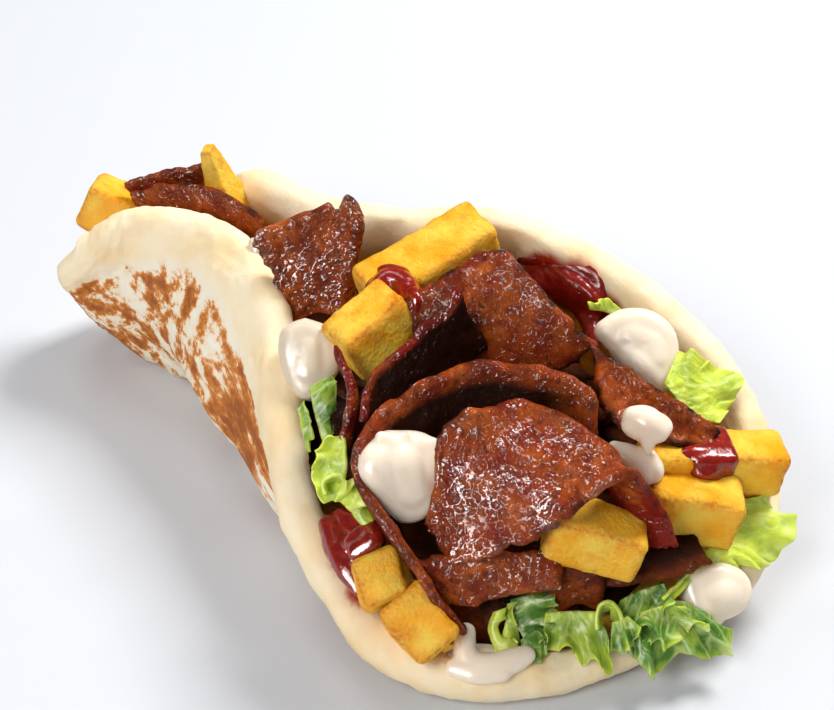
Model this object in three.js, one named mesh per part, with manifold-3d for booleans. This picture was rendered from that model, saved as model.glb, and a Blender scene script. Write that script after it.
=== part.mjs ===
// A doner kebab sandwich: a thick round flatbread folded into a horn that is narrow at the back and lies open
// at the front, filled with shaved meat, chunky fries, lettuce, white garlic sauce and red chilli sauce.
//
// Millimetres, +Z up. +X runs from the narrow back end to the open front, +Y towards the tall back wall.
// The origin is on the flat underside of the bread, on the surface that the sandwich lies on.
//
// Every piece is first made whole, and is then carved back by the pieces that it leans on, with a small gap.

import * as THREE from "three";
import { mergeVertices } from "three/addons/utils/BufferGeometryUtils.js";
import Module from "manifold-3d";

const wasm = await Module();
wasm.setup();

// ---------------------------------------------------------------- driving dimensions

const GAP = 0.3; // clearance between two pieces that touch
const BREAD_THICK = 6; // the flat of the bread
const RIM_THICK = 8.8; // the puffed edge of the bread
const MEAT_THICK = 2.6;
const LEAF_THICK = 0.9;
const FRY_SIDE = 12; // the square section of a chunky fry

const ROUND_SEGMENTS = 56; // round the edge of the bread
const SHEET_STEPS = [8, 3]; // along and across a slice or a leaf
const FRILL_STEPS = [15, 3]; // along and across a frilled leaf

const BREAD = { colour: 0xf0dcae, roughness: 0.75 };
const MEAT = { colour: 0x7c3413, roughness: 0.35 };
const FRY = { colour: 0xf4b93e, roughness: 0.6 };
const LETTUCE = { colour: 0x9fbf3a, roughness: 0.45 };
const WHITE_SAUCE = { colour: 0xf3ece0, roughness: 0.25 };
const RED_SAUCE = { colour: 0x8e120c, roughness: 0.2 };

// ---------------------------------------------------------------- small tools

const vec = (p) => new THREE.Vector3(...p);

/** A repeatable value from -1 to 1 for a place on a piece. */
function jitter(seed, a, b = 0) {
  const s = Math.sin(seed * 91.7 + a * 12.9898 + b * 78.233) * 43758.5453;
  return 2 * (s - Math.floor(s)) - 1;
}

/** A smooth curve through points, which runs straight on past both ends. */
function path(points) {
  if (points.length === 1) {
    return () => vec(points[0]);
  }
  const curve = new THREE.CatmullRomCurve3(points.map(vec), false, "catmullrom", 0.5);
  return (u) => {
    const inside = THREE.MathUtils.clamp(u, 0, 1);
    const point = curve.getPoint(inside);
    if (u === inside) {
      return point;
    }
    const step = 0.01;
    const near = curve.getPoint(u < 0 ? step : 1 - step);
    return point.addScaledVector(point.clone().sub(near), Math.abs(u - inside) / step);
  };
}

/** The solid that a closed mesh bounds, with its faces turned outwards. */
function solid(geometry) {
  const bare = geometry.clone();
  bare.deleteAttribute("normal");
  bare.deleteAttribute("uv");
  const merged = mergeVertices(bare, 1e-3);
  const triVerts = new Uint32Array(merged.index.array);
  const mesh = { numProp: 3, vertProperties: merged.attributes.position.array, triVerts };
  const made = new wasm.Manifold(new wasm.Mesh(mesh));
  if (made.volume() > 0) {
    return made;
  }
  for (let i = 0; i < triVerts.length; i += 3) {
    [triVerts[i + 1], triVerts[i + 2]] = [triVerts[i + 2], triVerts[i + 1]];
  }
  return new wasm.Manifold(new wasm.Mesh(mesh));
}

/** The largest body of a solid, without the scraps that carving leaves. */
function largest(made) {
  return made.decompose().reduce((a, b) => (a.volume() > b.volume() ? a : b));
}

/** A three.js geometry from a solid. */
function geometryOf(made) {
  const mesh = made.getMesh();
  const positions = new Float32Array(mesh.numVert * 3);
  for (let i = 0; i < mesh.numVert; i += 1) {
    positions.set(mesh.vertProperties.subarray(i * mesh.numProp, i * mesh.numProp + 3), i * 3);
  }
  const geometry = new THREE.BufferGeometry();
  geometry.setAttribute("position", new THREE.BufferAttribute(positions, 3));
  geometry.setIndex(new THREE.BufferAttribute(mesh.triVerts, 1));
  geometry.computeVertexNormals();
  return geometry;
}

/** Moves every vertex of a geometry by a function of its point. */
function reshape(geometry, move) {
  const position = geometry.attributes.position;
  const point = new THREE.Vector3();
  for (let i = 0; i < position.count; i += 1) {
    point.fromBufferAttribute(position, i);
    position.setXYZ(i, ...move(point).toArray());
  }
  return geometry;
}

/** A thin solid on both sides of surface(u, v), with both faces split into triangles alike; grow adds all round. */
function thinSolid(surface, [alongSteps, acrossSteps], thick, grow) {
  const nudge = 1e-3;
  const reachU = grow / surface(0, 0.5).distanceTo(surface(1, 0.5));
  const reachV = grow / surface(0.5, 0).distanceTo(surface(0.5, 1));
  const widen = (at, reach) => at + (at < 1e-6 ? -reach : at > 1 - 1e-6 ? reach : 0);
  const flat = new THREE.PlaneGeometry(1, 1, alongSteps, acrossSteps);
  const count = flat.attributes.position.count;
  const points = [[], []];
  for (let i = 0; i < count; i += 1) {
    const u = widen(flat.attributes.position.getX(i) + 0.5, reachU);
    const v = widen(flat.attributes.position.getY(i) + 0.5, reachV);
    const middle = surface(u, v);
    const alongU = surface(u + nudge, v).sub(surface(u - nudge, v));
    const alongV = surface(u, v + nudge).sub(surface(u, v - nudge));
    const normal = alongU.cross(alongV).normalize();
    points[0].push(middle.clone().addScaledVector(normal, thick / 2 + grow));
    points[1].push(middle.clone().addScaledVector(normal, -thick / 2 - grow));
  }
  const faces = [];
  const index = flat.index.array;
  for (let i = 0; i < index.length; i += 3) {
    faces.push([index[i], index[i + 1], index[i + 2]]);
    faces.push([index[i] + count, index[i + 2] + count, index[i + 1] + count]);
  }
  const row = alongSteps + 1;
  const border = [];
  for (let i = 0; i < alongSteps; i += 1) border.push(i);
  for (let j = 0; j < acrossSteps; j += 1) border.push(alongSteps + j * row);
  for (let i = alongSteps; i > 0; i -= 1) border.push(acrossSteps * row + i);
  for (let j = acrossSteps; j > 0; j -= 1) border.push(j * row);
  border.forEach((a, i) => {
    const b = border[(i + 1) % border.length];
    faces.push([a, b, a + count], [b, b + count, a + count]);
  });
  const geometry = new THREE.BufferGeometry().setFromPoints([...points[0], ...points[1]]);
  geometry.setIndex(faces.flat());
  return solid(geometry);
}

// ---------------------------------------------------------------- the bread

// The bread once round: the middle of its puffed edge (x, y, z), the foot of the wall below it (x, y), and the
// wall's lean at the edge in degrees, from 0, flat on the ground, through 90, upright, to more, curling in.
const RIM = [
  [-102, -20, 17, -96, -17, 70],
  [-98, -26, 27, -92, -16, 85],
  [-91, -22, 36, -86, -16, 98],
  [-84, -17, 40, -79, -17, 110],
  [-70, -13, 43, -69, -20, 132],
  [-56, -14, 44, -58, -28, 144],
  [-42, -20, 42, -48, -34, 144],
  [-31, -28, 37, -38, -35, 128],
  [-20, -38, 31, -24, -42, 105],
  [-8, -48, 23, -6, -46, 68],
  [5, -53, 15, 7, -47, 48],
  [21, -56, 9, 21, -48, 25],
  [36, -52, 6, 33, -43, 12],
  [49, -40, 5, 42, -33, 8],
  [58, -23, 5, 49, -19, 8],
  [66, -4, 8, 56, -4, 18],
  [64, 14, 15, 57, 10, 40],
  [54, 27, 23, 51, 23, 58],
  [39, 34, 31, 38, 33, 72],
  [20, 36, 38, 20, 38, 82],
  [-1, 34, 43, -2, 38, 88],
  [-18, 27, 46, -21, 32, 92],
  [-33, 16, 45, -37, 23, 95],
  [-51, 10, 43, -53, 19, 95],
  [-72, 9, 42, -72, 17, 92],
  [-84, 7, 32, -85, 10, 85],
  [-94, -2, 20, -92, 0, 70],
  [-100, -11, 14, -95, -9, 62],
];
const BREAD_CENTRE = [-12, -11];
const TROUGH_ENDS = [-78, 28]; // the bottom of the trough, along X
const FLAT_RADIUS = 90; // of the bread before it is folded
const PUFF_WIDTH = 16; // how far the puffed edge reaches in
const REST_SINK = 5; // how far the bottom of the trough settles onto the surface below, where it would curve up
const REST_REACH = 12; // height over which that fades out

const closedCurve = (points) => new THREE.CatmullRomCurve3(points.map(vec), true, "catmullrom", 0.5);
const rimCurve = closedCurve(RIM.map(([x, y, z]) => [x, y, z]));
const footCurve = closedCurve(RIM.map(([, , , x, y]) => [x, y, BREAD_THICK / 2]));
const leanCurve = closedCurve(RIM.map(([, , , , , lean]) => [lean, 0, 0]));

/** A point on the way from the middle of the trough out to a turn, 0 to 1, of the edge, at the middle's height. */
function alongTrough(share, turn, middle) {
  const foot = footCurve.getPoint(turn);
  const x = THREE.MathUtils.clamp(0.8 * foot.x, ...TROUGH_ENDS);
  const out = new THREE.Vector3(x, THREE.MathUtils.lerp(middle.y, foot.y, 0.5), middle.z);
  return middle.clone().lerp(out, THREE.MathUtils.smoothstep(share, 0, 0.6));
}

/** The bread's middle surface where the flat round was at distance share from its centre, on turn 0 to 1. */
function folded(share, turn) {
  const rim = rimCurve.getPoint(turn);
  const tangent = rimCurve.getTangent(turn);
  const lean = THREE.MathUtils.degToRad(leanCurve.getPoint(turn).x);
  const rise = new THREE.Vector3(tangent.y, -tangent.x, 0).setLength(Math.cos(lean)).setZ(Math.sin(lean));
  if (share > 1) {
    return rim.addScaledVector(rise, (share - 1) * FLAT_RADIUS);
  }
  const foot = footCurve.getPoint(turn);
  const start = alongTrough(share, turn, new THREE.Vector3(...BREAD_CENTRE, foot.z));
  const below = rim.clone().addScaledVector(rise, -0.6 * Math.max(rim.z - foot.z, 12));
  below.z = Math.max(below.z, foot.z);
  const point = new THREE.CubicBezierCurve3(start, foot, below, rim).getPoint(share);
  const height = point.z - foot.z;
  const loose = THREE.MathUtils.smoothstep(share, 0.2, 0.5);
  const sink = REST_SINK * (1 - THREE.MathUtils.smoothstep(height, 0, REST_REACH)) * (1 - loose);
  point.z = foot.z + Math.max(height - sink, 0);
  return point;
}

/** The place that is height above the folded middle surface, on the side of the filling. */
function onBread(share, turn, height) {
  const nudge = 2e-3;
  const at = Math.max(share, 0.05);
  const outwards = folded(at + nudge, turn).sub(folded(at - nudge, turn));
  const around = folded(at, (turn + nudge) % 1).sub(folded(at, (turn + 1 - nudge) % 1));
  const normal = share < 0.05 ? new THREE.Vector3(0, 0, 1) : outwards.cross(around).normalize();
  return folded(share, turn).addScaledVector(normal, height);
}

/** The polar place of a vertex of a lathed round of the given radius. */
const polar = (point, radius) => [
  Math.hypot(point.x, point.z) / radius,
  THREE.MathUtils.euclideanModulo(Math.atan2(point.z, point.x) / (2 * Math.PI), 1),
];

function flatbread(grow) {
  const half = (share) => {
    const puff = THREE.MathUtils.smoothstep((share - 1) * FLAT_RADIUS, -PUFF_WIDTH, -2);
    return THREE.MathUtils.lerp(BREAD_THICK, RIM_THICK, puff) / 2 + grow;
  };
  const rings = [0, 0.2, 0.38, 0.56, 0.72, 0.85, 0.93, 1];
  const top = rings.map((share) => new THREE.Vector2(share * FLAT_RADIUS, half(share)));
  const nose = [45, 90, 135].map((degrees) => {
    const angle = THREE.MathUtils.degToRad(degrees);
    return new THREE.Vector2(FLAT_RADIUS + half(1) * Math.sin(angle), half(1) * Math.cos(angle));
  });
  const bottom = top.map(({ x, y }) => new THREE.Vector2(x, -y)).reverse();
  const round = new THREE.LatheGeometry([...top, ...nose, ...bottom], ROUND_SEGMENTS);
  return solid(reshape(round, (point) => {
    const placed = onBread(...polar(point, FLAT_RADIUS), point.y);
    placed.z = Math.max(placed.z, -grow); // the underside is flat where it rests
    return placed;
  }));
}

// ---------------------------------------------------------------- the packed filling under the pieces that show

const FILLING_BASE = BREAD_THICK + 0.5;
// x, middle y, half width, top z
const FILLING = [
  [-88, -11, 10, 28],
  [-78, -8, 15, 33],
  [-64, -7, 18, 35],
  [-49, -8, 20, 37],
  [-34, -8, 23, 38],
  [-19, -7, 28, 39],
  [-4, -7, 33, 38],
  [11, -8, 36, 35],
  [26, -9, 35, 30],
  [40, -9, 28, 24],
  [51, -7, 17, 16],
];

function packedFilling(grow) {
  const middle = path(FILLING.map(([x, y]) => [x, y, 0]));
  const size = path(FILLING.map(([, , width, top]) => [width, top, 0]));
  const tube = new THREE.CylinderGeometry(1, 1, 1, 16, 14);
  return solid(reshape(tube, (point) => {
    const u = point.y + 0.5;
    const { x: width, y: top } = size(u);
    const half = (top - FILLING_BASE) / 2;
    return middle(u).add(new THREE.Vector3(
      2 * point.y * grow,
      point.x * (width + grow),
      FILLING_BASE + half + point.z * (half + grow),
    ));
  }));
}

// ---------------------------------------------------------------- meat

/**
 * A thin sheet between two lines: bow rounds it out between them, and waves of a given height run along it and
 * grow towards its second line.
 */
function sheet({ edge, hem, bow = 0, waves = 0, wave = 0, seed = 1, thick, steps = SHEET_STEPS }, grow) {
  const near = path(edge);
  const far = path(hem);
  const surface = (u, v) => {
    const nudge = 0.02;
    const from = near(u);
    const across = far(u).sub(from);
    const along = far(u + nudge).sub(far(u - nudge)).add(near(u + nudge)).sub(near(u - nudge));
    const side = along.cross(across).normalize();
    const ripple = wave * v * v * Math.sin(2 * Math.PI * waves * u + 2 * seed);
    return from.addScaledVector(across, v).addScaledVector(side, ripple + bow * 4 * v * (1 - v));
  };
  return thinSolid(surface, steps, thick, grow);
}

const SLICES = {
  slice_upright: {
    edge: [[-45, -19, 57], [-37, -9, 62], [-31, -4, 66], [-26, -7, 61]],
    hem: [[-36, -19, 36], [-32, -15, 34], [-28, -12, 36], [-29, -6, 38]],
    bow: 1.5,
  },
  slice_saddle: {
    edge: [[-9, -13, 54], [-5, -5, 58], [-1, 3, 61], [4, 6, 62]],
    hem: [[-3, -7, 33], [8, -6, 38], [20, 0, 42], [27, 6, 49]],
    bow: -3,
  },
  slice_hoop: {
    edge: [
      [37, -10, 50], [33, -9, 53], [26, -14, 56], [17, -22, 57], [11, -32, 55],
      [8, -41, 52], [9, -49, 46], [16, -52, 41], [24, -52, 35], [32, -52, 26], [37, -49, 17],
    ],
    hem: [
      [40, -13, 37], [36, -11, 39], [28, -13, 40], [19, -20, 41], [14, -29, 39],
      [12, -37, 36], [13, -43, 33], [18, -47, 29], [25, -48, 24], [32, -48, 18], [37, -45, 12],
    ],
    steps: [20, 2],
  },
  slice_glossy: {
    edge: [
      [30, -46, 28], [36, -42, 31], [41, -38, 35], [46, -34, 39], [49, -31, 44],
      [54, -23, 50], [58, -15, 39], [61, -12, 28],
    ],
    hem: [
      [22, -43, 32], [22, -40, 42], [20, -36, 50], [23, -29, 54], [31, -21, 54],
      [47, -18, 50.5], [50.2, -13.8, 36], [55.3, -13, 24.5],
    ],
    bow: -1.5,
    steps: [12, 4],
  },
  slice_tongue: {
    edge: [[30, -49, 20], [37, -44, 21], [43, -38, 23], [48, -32, 23]],
    hem: [[24, -50, 29], [33, -41, 30], [45, -30, 30]],
  },
  slice_thin_mid: {
    edge: [[6, -14, 65], [5, -22, 61], [4, -28, 58], [2, -36, 54], [4, -41, 48]],
    hem: [[8, -6, 46], [8, -16, 45], [8, -25, 44], [8, -37, 37]],
  },
  slice_thin_left: {
    edge: [[-10, -32, 53], [-4, -36, 50], [-1, -40, 47], [1, -44, 43]],
    hem: [[-7, -29, 36], [-1, -33, 35], [5, -41, 31]],
  },
  slice_dark_right: {
    edge: [[26, 5, 50], [37, 6, 47], [48, 9, 42], [54, 12, 37]],
    hem: [[35, -4, 45], [42, -4, 42], [49, 1, 39], [56, 9, 35]],
    bow: 1.5,
  },
  slice_end_back: {
    edge: [[-94, -12, 44], [-90, -8, 46], [-85, -4, 47], [-79, 1, 49.5]],
    hem: [[-90, -8, 30], [-86, -4, 31], [-81, -1, 32], [-76, 3, 34]],
  },
  slice_end_front: {
    edge: [[-92, -12, 42], [-85, -9.5, 46], [-77, -7, 48.5], [-66, -5, 49], [-57, -5, 48]],
    hem: [[-90, -10, 30], [-81, -9, 33], [-71, -7.5, 35], [-61, -6, 36], [-53, -5, 36]],
  },
  slice_low_right: {
    edge: [[49, -26, 19], [56, -20, 20], [61, -16, 21], [64, -12, 21.5], [66, -7, 22]],
    hem: [[40, -18, 22], [45, -11, 22], [50, -6, 22], [54, 0, 22]],
    bow: 1,
  },
  slice_low_mid: {
    edge: [[44, -33, 26], [48, -28, 26], [52, -24, 24]],
    hem: [[44, -32, 13], [48, -27, 14], [52, -23, 13]],
  },
};

// ---------------------------------------------------------------- lettuce

const LEAVES = {
  leaf_front_left: {
    edge: [[31, -44, 20], [37, -38, 21], [43, -31, 21]],
    hem: [[35, -48, 12], [41, -47, 10.5], [46, -44, 10.5], [51, -39, 10.5], [52, -33, 11]],
    waves: 2.4, wave: 1.6, seed: 2, steps: FRILL_STEPS,
  },
  leaf_front_middle: {
    edge: [[46, -33.5, 16.5], [51, -30, 16], [54.5, -25, 16.5]],
    hem: [[50, -36, 10.5], [55, -33, 10], [60, -29, 10], [61, -24, 10.5]],
    waves: 1.7, wave: 1.6, seed: 3, steps: FRILL_STEPS,
  },
  leaf_front_right: {
    edge: [[53, -22, 16], [57, -17, 16], [61, -13, 15], [63, -11.5, 13]],
    hem: [[57, -29, 10], [63, -27, 7], [68, -22, 5], [72, -16, 5], [74, -12, 6], [70, -10, 9]],
    waves: 2.6, wave: 1.8, seed: 4, steps: FRILL_STEPS,
  },
  leaf_right: {
    edge: [[57, -13, 16], [61, -5, 16], [61, 4, 18], [59, 11, 22]],
    hem: [[60, -14, 14], [65, -3, 15.5], [69, 5, 13], [72, 11, 13], [72, 15, 16], [69, 17, 20], [63, 16, 23]],
    waves: 1.4, wave: 1.2, bow: -1, seed: 5,
  },
  leaf_back_right: {
    edge: [[34, 14, 34], [41, 13, 34], [47, 13, 32]],
    hem: [[33, 27, 38], [40, 30, 37], [48, 31, 34], [50, 21, 31]],
    waves: 1.5, wave: 1.2, seed: 6,
  },
  leaf_left: {
    edge: [[-4, -45, 38], [-7, -42, 38], [-10, -40, 39]],
    hem: [[-6, -38, 44], [-10, -34, 46], [-14, -35, 43]],
    bow: 1, seed: 7,
  },
  leaf_left_curl: {
    edge: [[-6, -43, 32], [1, -44, 32], [9, -46, 28]],
    hem: [[-8, -43, 38], [-1, -43, 43], [4, -46, 39], [10, -46, 37], [14, -46, 31]],
    waves: 1.6, wave: 1.2, bow: 1, seed: 8,
  },
  leaf_shred: {
    edge: [[12, 28, 37], [15, 25, 36], [21, 24, 37]],
    hem: [[10, 27, 40], [12, 25, 39], [16, 26, 39], [22, 27, 39]],
    waves: 1, wave: 1, seed: 9,
  },
};

// ---------------------------------------------------------------- fries

/** A chunky fry between two points: a soft square bar with blunt ends, thinner towards its tip. */
function fry({ from, to, width = FRY_SIDE, height = FRY_SIDE, roll = 0, tip = 0.94, seed = 1 }, grow) {
  const start = vec(from);
  const forward = vec(to).sub(start);
  const length = forward.length();
  forward.normalize();
  const side = new THREE.Vector3(0, 0, 1).cross(forward).normalize();
  side.applyAxisAngle(forward, THREE.MathUtils.degToRad(roll));
  const turned = new THREE.Matrix4().makeBasis(forward, side, forward.clone().cross(side));
  const bar = new THREE.BoxGeometry(1, 2, 2, 4, 2, 2);
  return solid(reshape(bar, (point) => {
    const u = point.x + 0.5;
    const isEnd = Math.abs(point.x) === 0.5;
    const corner = Math.abs(point.y) === 1 && Math.abs(point.z) === 1 ? 0.87 : 1;
    const blunt = isEnd ? 0.88 : 1;
    const thin = corner * blunt * THREE.MathUtils.lerp(1, tip, u) * (1 + 0.04 * jitter(seed, u * 4));
    const swell = isEnd && point.y === 0 && point.z === 0 ? 0.5 : 0;
    return new THREE.Vector3(
      u * length + Math.sign(point.x) * (swell + grow),
      point.y * thin * (width / 2 + grow),
      point.z * thin * (height / 2 + grow),
    ).applyMatrix4(turned).add(start);
  }));
}

const FRIES = {
  fry_back_end: { from: [-82, -5, 28], to: [-104, -15, 38], roll: 15 },
  fry_spike: { from: [-71, 3.5, 29], to: [-77.5, 0.5, 54], width: 14, height: 11, tip: 0.32 },
  fry_on_wall: { from: [-21, -10, 46], to: [-12, 18, 54], roll: 8, width: 13 },
  fry_short: { from: [-15, -26, 45], to: [-11, -11, 51], roll: -10 },
  fry_right: { from: [44, -2, 33], to: [64, 21, 27], width: 11, height: 12 },
  fry_right_middle: { from: [49, -6.5, 28.7], to: [63.5, 5.8, 24.1], height: 13 },
  fry_front: { from: [41, -29, 33], to: [56.5, -18, 28.5], width: 11 },
  fry_left_upper: { from: [16, -52.8, 27.2], to: [24, -55.8, 21.7], roll: 15, width: 10, height: 11 },
  fry_left_lower: { from: [23.6, -53, 21.8], to: [35, -52.6, 14.3], roll: 37, width: 11.5 },
};

// ---------------------------------------------------------------- sauces

/** A soft mound of sauce about a middle point: half sizes, a turn about +Z, a tilt, and a drawn-out peak. */
function dollop({ at, size, turn = 0, tilt = 0, peak = 0, seed = 1, detail = 1 }, grow) {
  const ball = new THREE.IcosahedronGeometry(1, detail);
  const pose = new THREE.Euler(THREE.MathUtils.degToRad(tilt), 0, THREE.MathUtils.degToRad(turn), "ZXY");
  return solid(reshape(ball, (point) => {
    const wobble = 1 + 0.07 * Math.sin(3 * point.x + seed) * Math.cos(2.5 * point.y + 2 * seed);
    const pull = peak * Math.exp(-((point.x - 0.2) ** 2 + point.y ** 2) * 9) * Math.max(point.z, 0);
    return new THREE.Vector3(
      point.x * (size[0] * wobble + grow),
      point.y * (size[1] * wobble + grow),
      point.z * (size[2] + grow) + pull,
    ).applyEuler(pose).add(vec(at));
  }));
}

const WHITE_SAUCES = {
  white_sauce_left: { at: [-21.5, -27.5, 38], size: [7.5, 7, 8.5], peak: 1, seed: 1, detail: 2 },
  white_sauce_centre: { at: [14.5, -41, 39], size: [9, 7.5, 10], turn: 30, peak: 2.5, seed: 2, detail: 2 },
  white_sauce_back: { at: [29, 22, 38], size: [11, 9, 6.5], turn: 20, seed: 3, detail: 2 },
  white_sauce_drop: { at: [46, -2, 44], size: [6.5, 4.5, 4], turn: 35, seed: 4 },
  white_sauce_small: { at: [47, -8, 37], size: [7.5, 5, 5], turn: 45, seed: 5 },
  white_sauce_right: { at: [67, -5, 12.5], size: [7, 6.5, 5.5], turn: 50, seed: 6 },
  white_sauce_front: { at: [39, -46.5, 8], size: [13, 5.5, 5], turn: 35, seed: 7, detail: 2 },
};

const RED_SAUCES = {
  red_sauce_wall: { at: [2, 29, 37], size: [14, 5, 8], turn: -5, tilt: -10, seed: 1, detail: 2 },
  red_sauce_left: { at: [10, -53, 27], size: [10, 6, 6], turn: -25, seed: 2 },
  red_sauce_on_fry: { at: [-17, -8, 50], size: [6.5, 6, 5.5], turn: 60, seed: 3 },
  red_sauce_right: { at: [56, 8, 33], size: [8, 8, 7.5], turn: 45, seed: 4 },
};

// ---------------------------------------------------------------- assembly

/** One entry for each piece, in the order in which they are kept whole: a later piece gives way. */
const pieces = [
  { name: "flatbread", look: BREAD, make: flatbread },
  { name: "packed_filling", look: MEAT, make: packedFilling },
  ...Object.entries(FRIES).map(([name, sizes], i) => (
    { name, look: FRY, make: (grow) => fry({ seed: i + 1, ...sizes }, grow) })),
  ...Object.entries(SLICES).map(([name, sizes], i) => (
    { name, look: MEAT, make: (grow) => sheet({ seed: i + 1, thick: MEAT_THICK, ...sizes }, grow) })),
  ...Object.entries(LEAVES).map(([name, sizes]) => (
    { name, look: LETTUCE, make: (grow) => sheet({ thick: LEAF_THICK, ...sizes }, grow) })),
  ...Object.entries(WHITE_SAUCES).map(([name, sizes]) => (
    { name, look: WHITE_SAUCE, make: (grow) => dollop(sizes, grow) })),
  ...Object.entries(RED_SAUCES).map(([name, sizes]) => (
    { name, look: RED_SAUCE, make: (grow) => dollop(sizes, grow) })),
];

const sandwich = new THREE.Group();
const kept = [];
for (const { name, look, make } of pieces) {
  const made = largest(kept.reduce((rest, room) => rest.subtract(room), make(0)));
  kept.push(make(GAP));
  const material = new THREE.MeshStandardMaterial({ color: look.colour, roughness: look.roughness });
  const mesh = new THREE.Mesh(geometryOf(made), material);
  mesh.name = name;
  sandwich.add(mesh);
}

export default sandwich;
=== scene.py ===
"""A doner kebab sandwich: a thick flatbread folded into a horn, filled with shaved meat, chunky fries, lettuce and
two sauces. Each kind of food is made by its own operator, and the sidebar panel lists them.
"""

import math
import random

import bmesh
import bpy
import numpy as np
from mathutils import Matrix, Vector, noise


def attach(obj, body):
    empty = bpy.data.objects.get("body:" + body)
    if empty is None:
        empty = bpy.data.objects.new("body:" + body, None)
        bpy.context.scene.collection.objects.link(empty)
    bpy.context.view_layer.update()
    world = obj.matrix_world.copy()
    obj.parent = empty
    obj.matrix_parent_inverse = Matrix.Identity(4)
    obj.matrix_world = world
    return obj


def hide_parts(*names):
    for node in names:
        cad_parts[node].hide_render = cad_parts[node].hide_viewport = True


bl_info = {
    "name": "Doner Sandwich",
    "version": (1, 0, 0),
    "blender": (4, 5, 0),
    "location": "3D View > Sidebar > Sandwich",
    "description": "Makes a filled, folded flatbread and the pieces of food in it",
    "category": "Add Mesh",
}

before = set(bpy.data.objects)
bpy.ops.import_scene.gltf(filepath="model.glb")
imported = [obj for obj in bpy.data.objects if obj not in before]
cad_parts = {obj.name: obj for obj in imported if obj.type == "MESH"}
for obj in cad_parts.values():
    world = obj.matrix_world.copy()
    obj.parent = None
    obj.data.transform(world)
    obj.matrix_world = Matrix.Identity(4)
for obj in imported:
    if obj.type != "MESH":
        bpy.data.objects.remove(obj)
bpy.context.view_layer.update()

MM = 0.001


# ---------------------------------------------------------------- small tools

def linear(hex_colour):
    """An sRGB hex colour as linear red, green, blue and alpha."""
    channels = [int(hex_colour[i:i + 2], 16) / 255 for i in (1, 3, 5)]
    return (*[c / 12.92 if c <= 0.04045 else ((c + 0.055) / 1.055) ** 2.4 for c in channels], 1.0)


def unit(vectors):
    """The same directions with a length of one."""
    return vectors / np.linalg.norm(vectors, axis=-1, keepdims=True).clip(1e-9)


def smooth(values, low, high):
    """0 below low, 1 above high, and a soft step between."""
    share = np.clip((np.asarray(values, float) - low) / (high - low), 0, 1)
    return share * share * (3 - 2 * share)


def grain(points, size, seed=0.0, octaves=3):
    """Fractal noise, about -1 to 1, at points in millimetres, with lumps of about the given size."""
    shift = np.array((17.3, 9.1, 5.7)) * seed
    places = np.asarray(points, float) / size + shift
    return np.array([noise.fractal(Vector(p), 1.0, 2.0, octaves) for p in places])


def spline(knots, closed=False):
    """A line through knots, as a function of places from 0 to 1. An open one runs straight on past its ends."""
    knots = np.array(knots, float)
    count = len(knots)
    pieces = count if closed else count - 1
    ends = (knots[-1:], knots[:2]) if closed else ([2 * knots[0] - knots[1]], [2 * knots[-1] - knots[-2]])
    padded = np.vstack([ends[0], knots, ends[1]])

    def at(place):
        place = np.asarray(place, float)
        inside = place % 1 if closed else np.clip(place, 0, 1)
        first = np.minimum((inside * pieces).astype(int), pieces - 1)
        t = (inside * pieces - first)[..., None]
        a, b, c, d = (padded[first + i] for i in range(4))
        leave, arrive = (c - a) / 2, (d - b) / 2
        bend = 3 * (c - b) - 2 * leave - arrive
        twist = 2 * (b - c) + leave + arrive
        point = b + leave * t + bend * t ** 2 + twist * t ** 3
        if closed:
            return point
        slope = np.where((place < 0)[..., None], knots[1] - knots[0], knots[-1] - knots[-2]) * pieces
        return point + slope * (place - inside)[..., None]

    return at


def paint(bm, name, values):
    """Keeps one number, or three, for each vertex, which a material reads by name."""
    layers = bm.verts.layers.float if np.ndim(values) == 1 else bm.verts.layers.float_vector
    layer = layers.get(name) or layers.new(name)
    for vert, value in zip(bm.verts, values):
        vert[layer] = value


def points_of(bm):
    """The places of a bmesh's vertices, one row each."""
    return np.array([vert.co for vert in bm.verts])


def reshape(bm, places):
    """Moves each vertex of a bmesh to its new place."""
    for vert, place in zip(bm.verts, places):
        vert.co = place


def join(parts):
    """One bmesh from several."""
    whole = bmesh.new()
    scratch = bpy.data.meshes.new("scratch")
    for part in parts:
        part.to_mesh(scratch)
        part.free()
        whole.from_mesh(scratch)
    bpy.data.meshes.remove(scratch)
    return whole


def serve(name, bm, material, slot, *nodes, levels=0):
    """Turns a bmesh in millimetres into a piece that stands for CAD nodes, in metres."""
    bmesh.ops.scale(bm, vec=(MM, MM, MM), verts=bm.verts)
    mesh = bpy.data.meshes.new(name)
    bm.to_mesh(mesh)
    bm.free()
    mesh.shade_smooth()
    mesh.materials.append(material)
    piece = bpy.data.objects.new(name, mesh)
    bpy.context.scene.collection.objects.link(piece)
    if levels:
        finer = piece.modifiers.new("finer", "SUBSURF")
        finer.levels = finer.render_levels = levels
    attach(piece, "root")
    if nodes:
        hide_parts(*nodes)
    return piece


def add_node(tree, kind, inputs=(), stops=(), **settings):
    """Adds a node to a material: inputs are numbers, colours or the sockets that feed them."""
    new = tree.nodes.new(kind)
    for name, value in settings.items():
        setattr(new, name, value)
    for key, value in dict(inputs).items():
        if isinstance(value, bpy.types.NodeSocket):
            tree.links.new(value, new.inputs[key])
        else:
            new.inputs[key].default_value = value
    if stops:
        ramp = new.color_ramp
        while len(ramp.elements) < len(stops):
            ramp.elements.new(1.0)
        for element, (place, colour) in zip(ramp.elements, stops):
            element.position = place
            element.color = colour
    return new


def new_material(name):
    """An empty node material, its tree and its object coordinates in millimetres."""
    material = bpy.data.materials.new(name)
    material.use_nodes = True
    tree = material.node_tree
    tree.nodes.clear()
    where = add_node(tree, "ShaderNodeTexCoord").outputs["Object"]
    place = add_node(tree, "ShaderNodeMapping", {"Vector": where, "Scale": (1 / MM,) * 3}).outputs["Vector"]
    return material, tree, place


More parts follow.
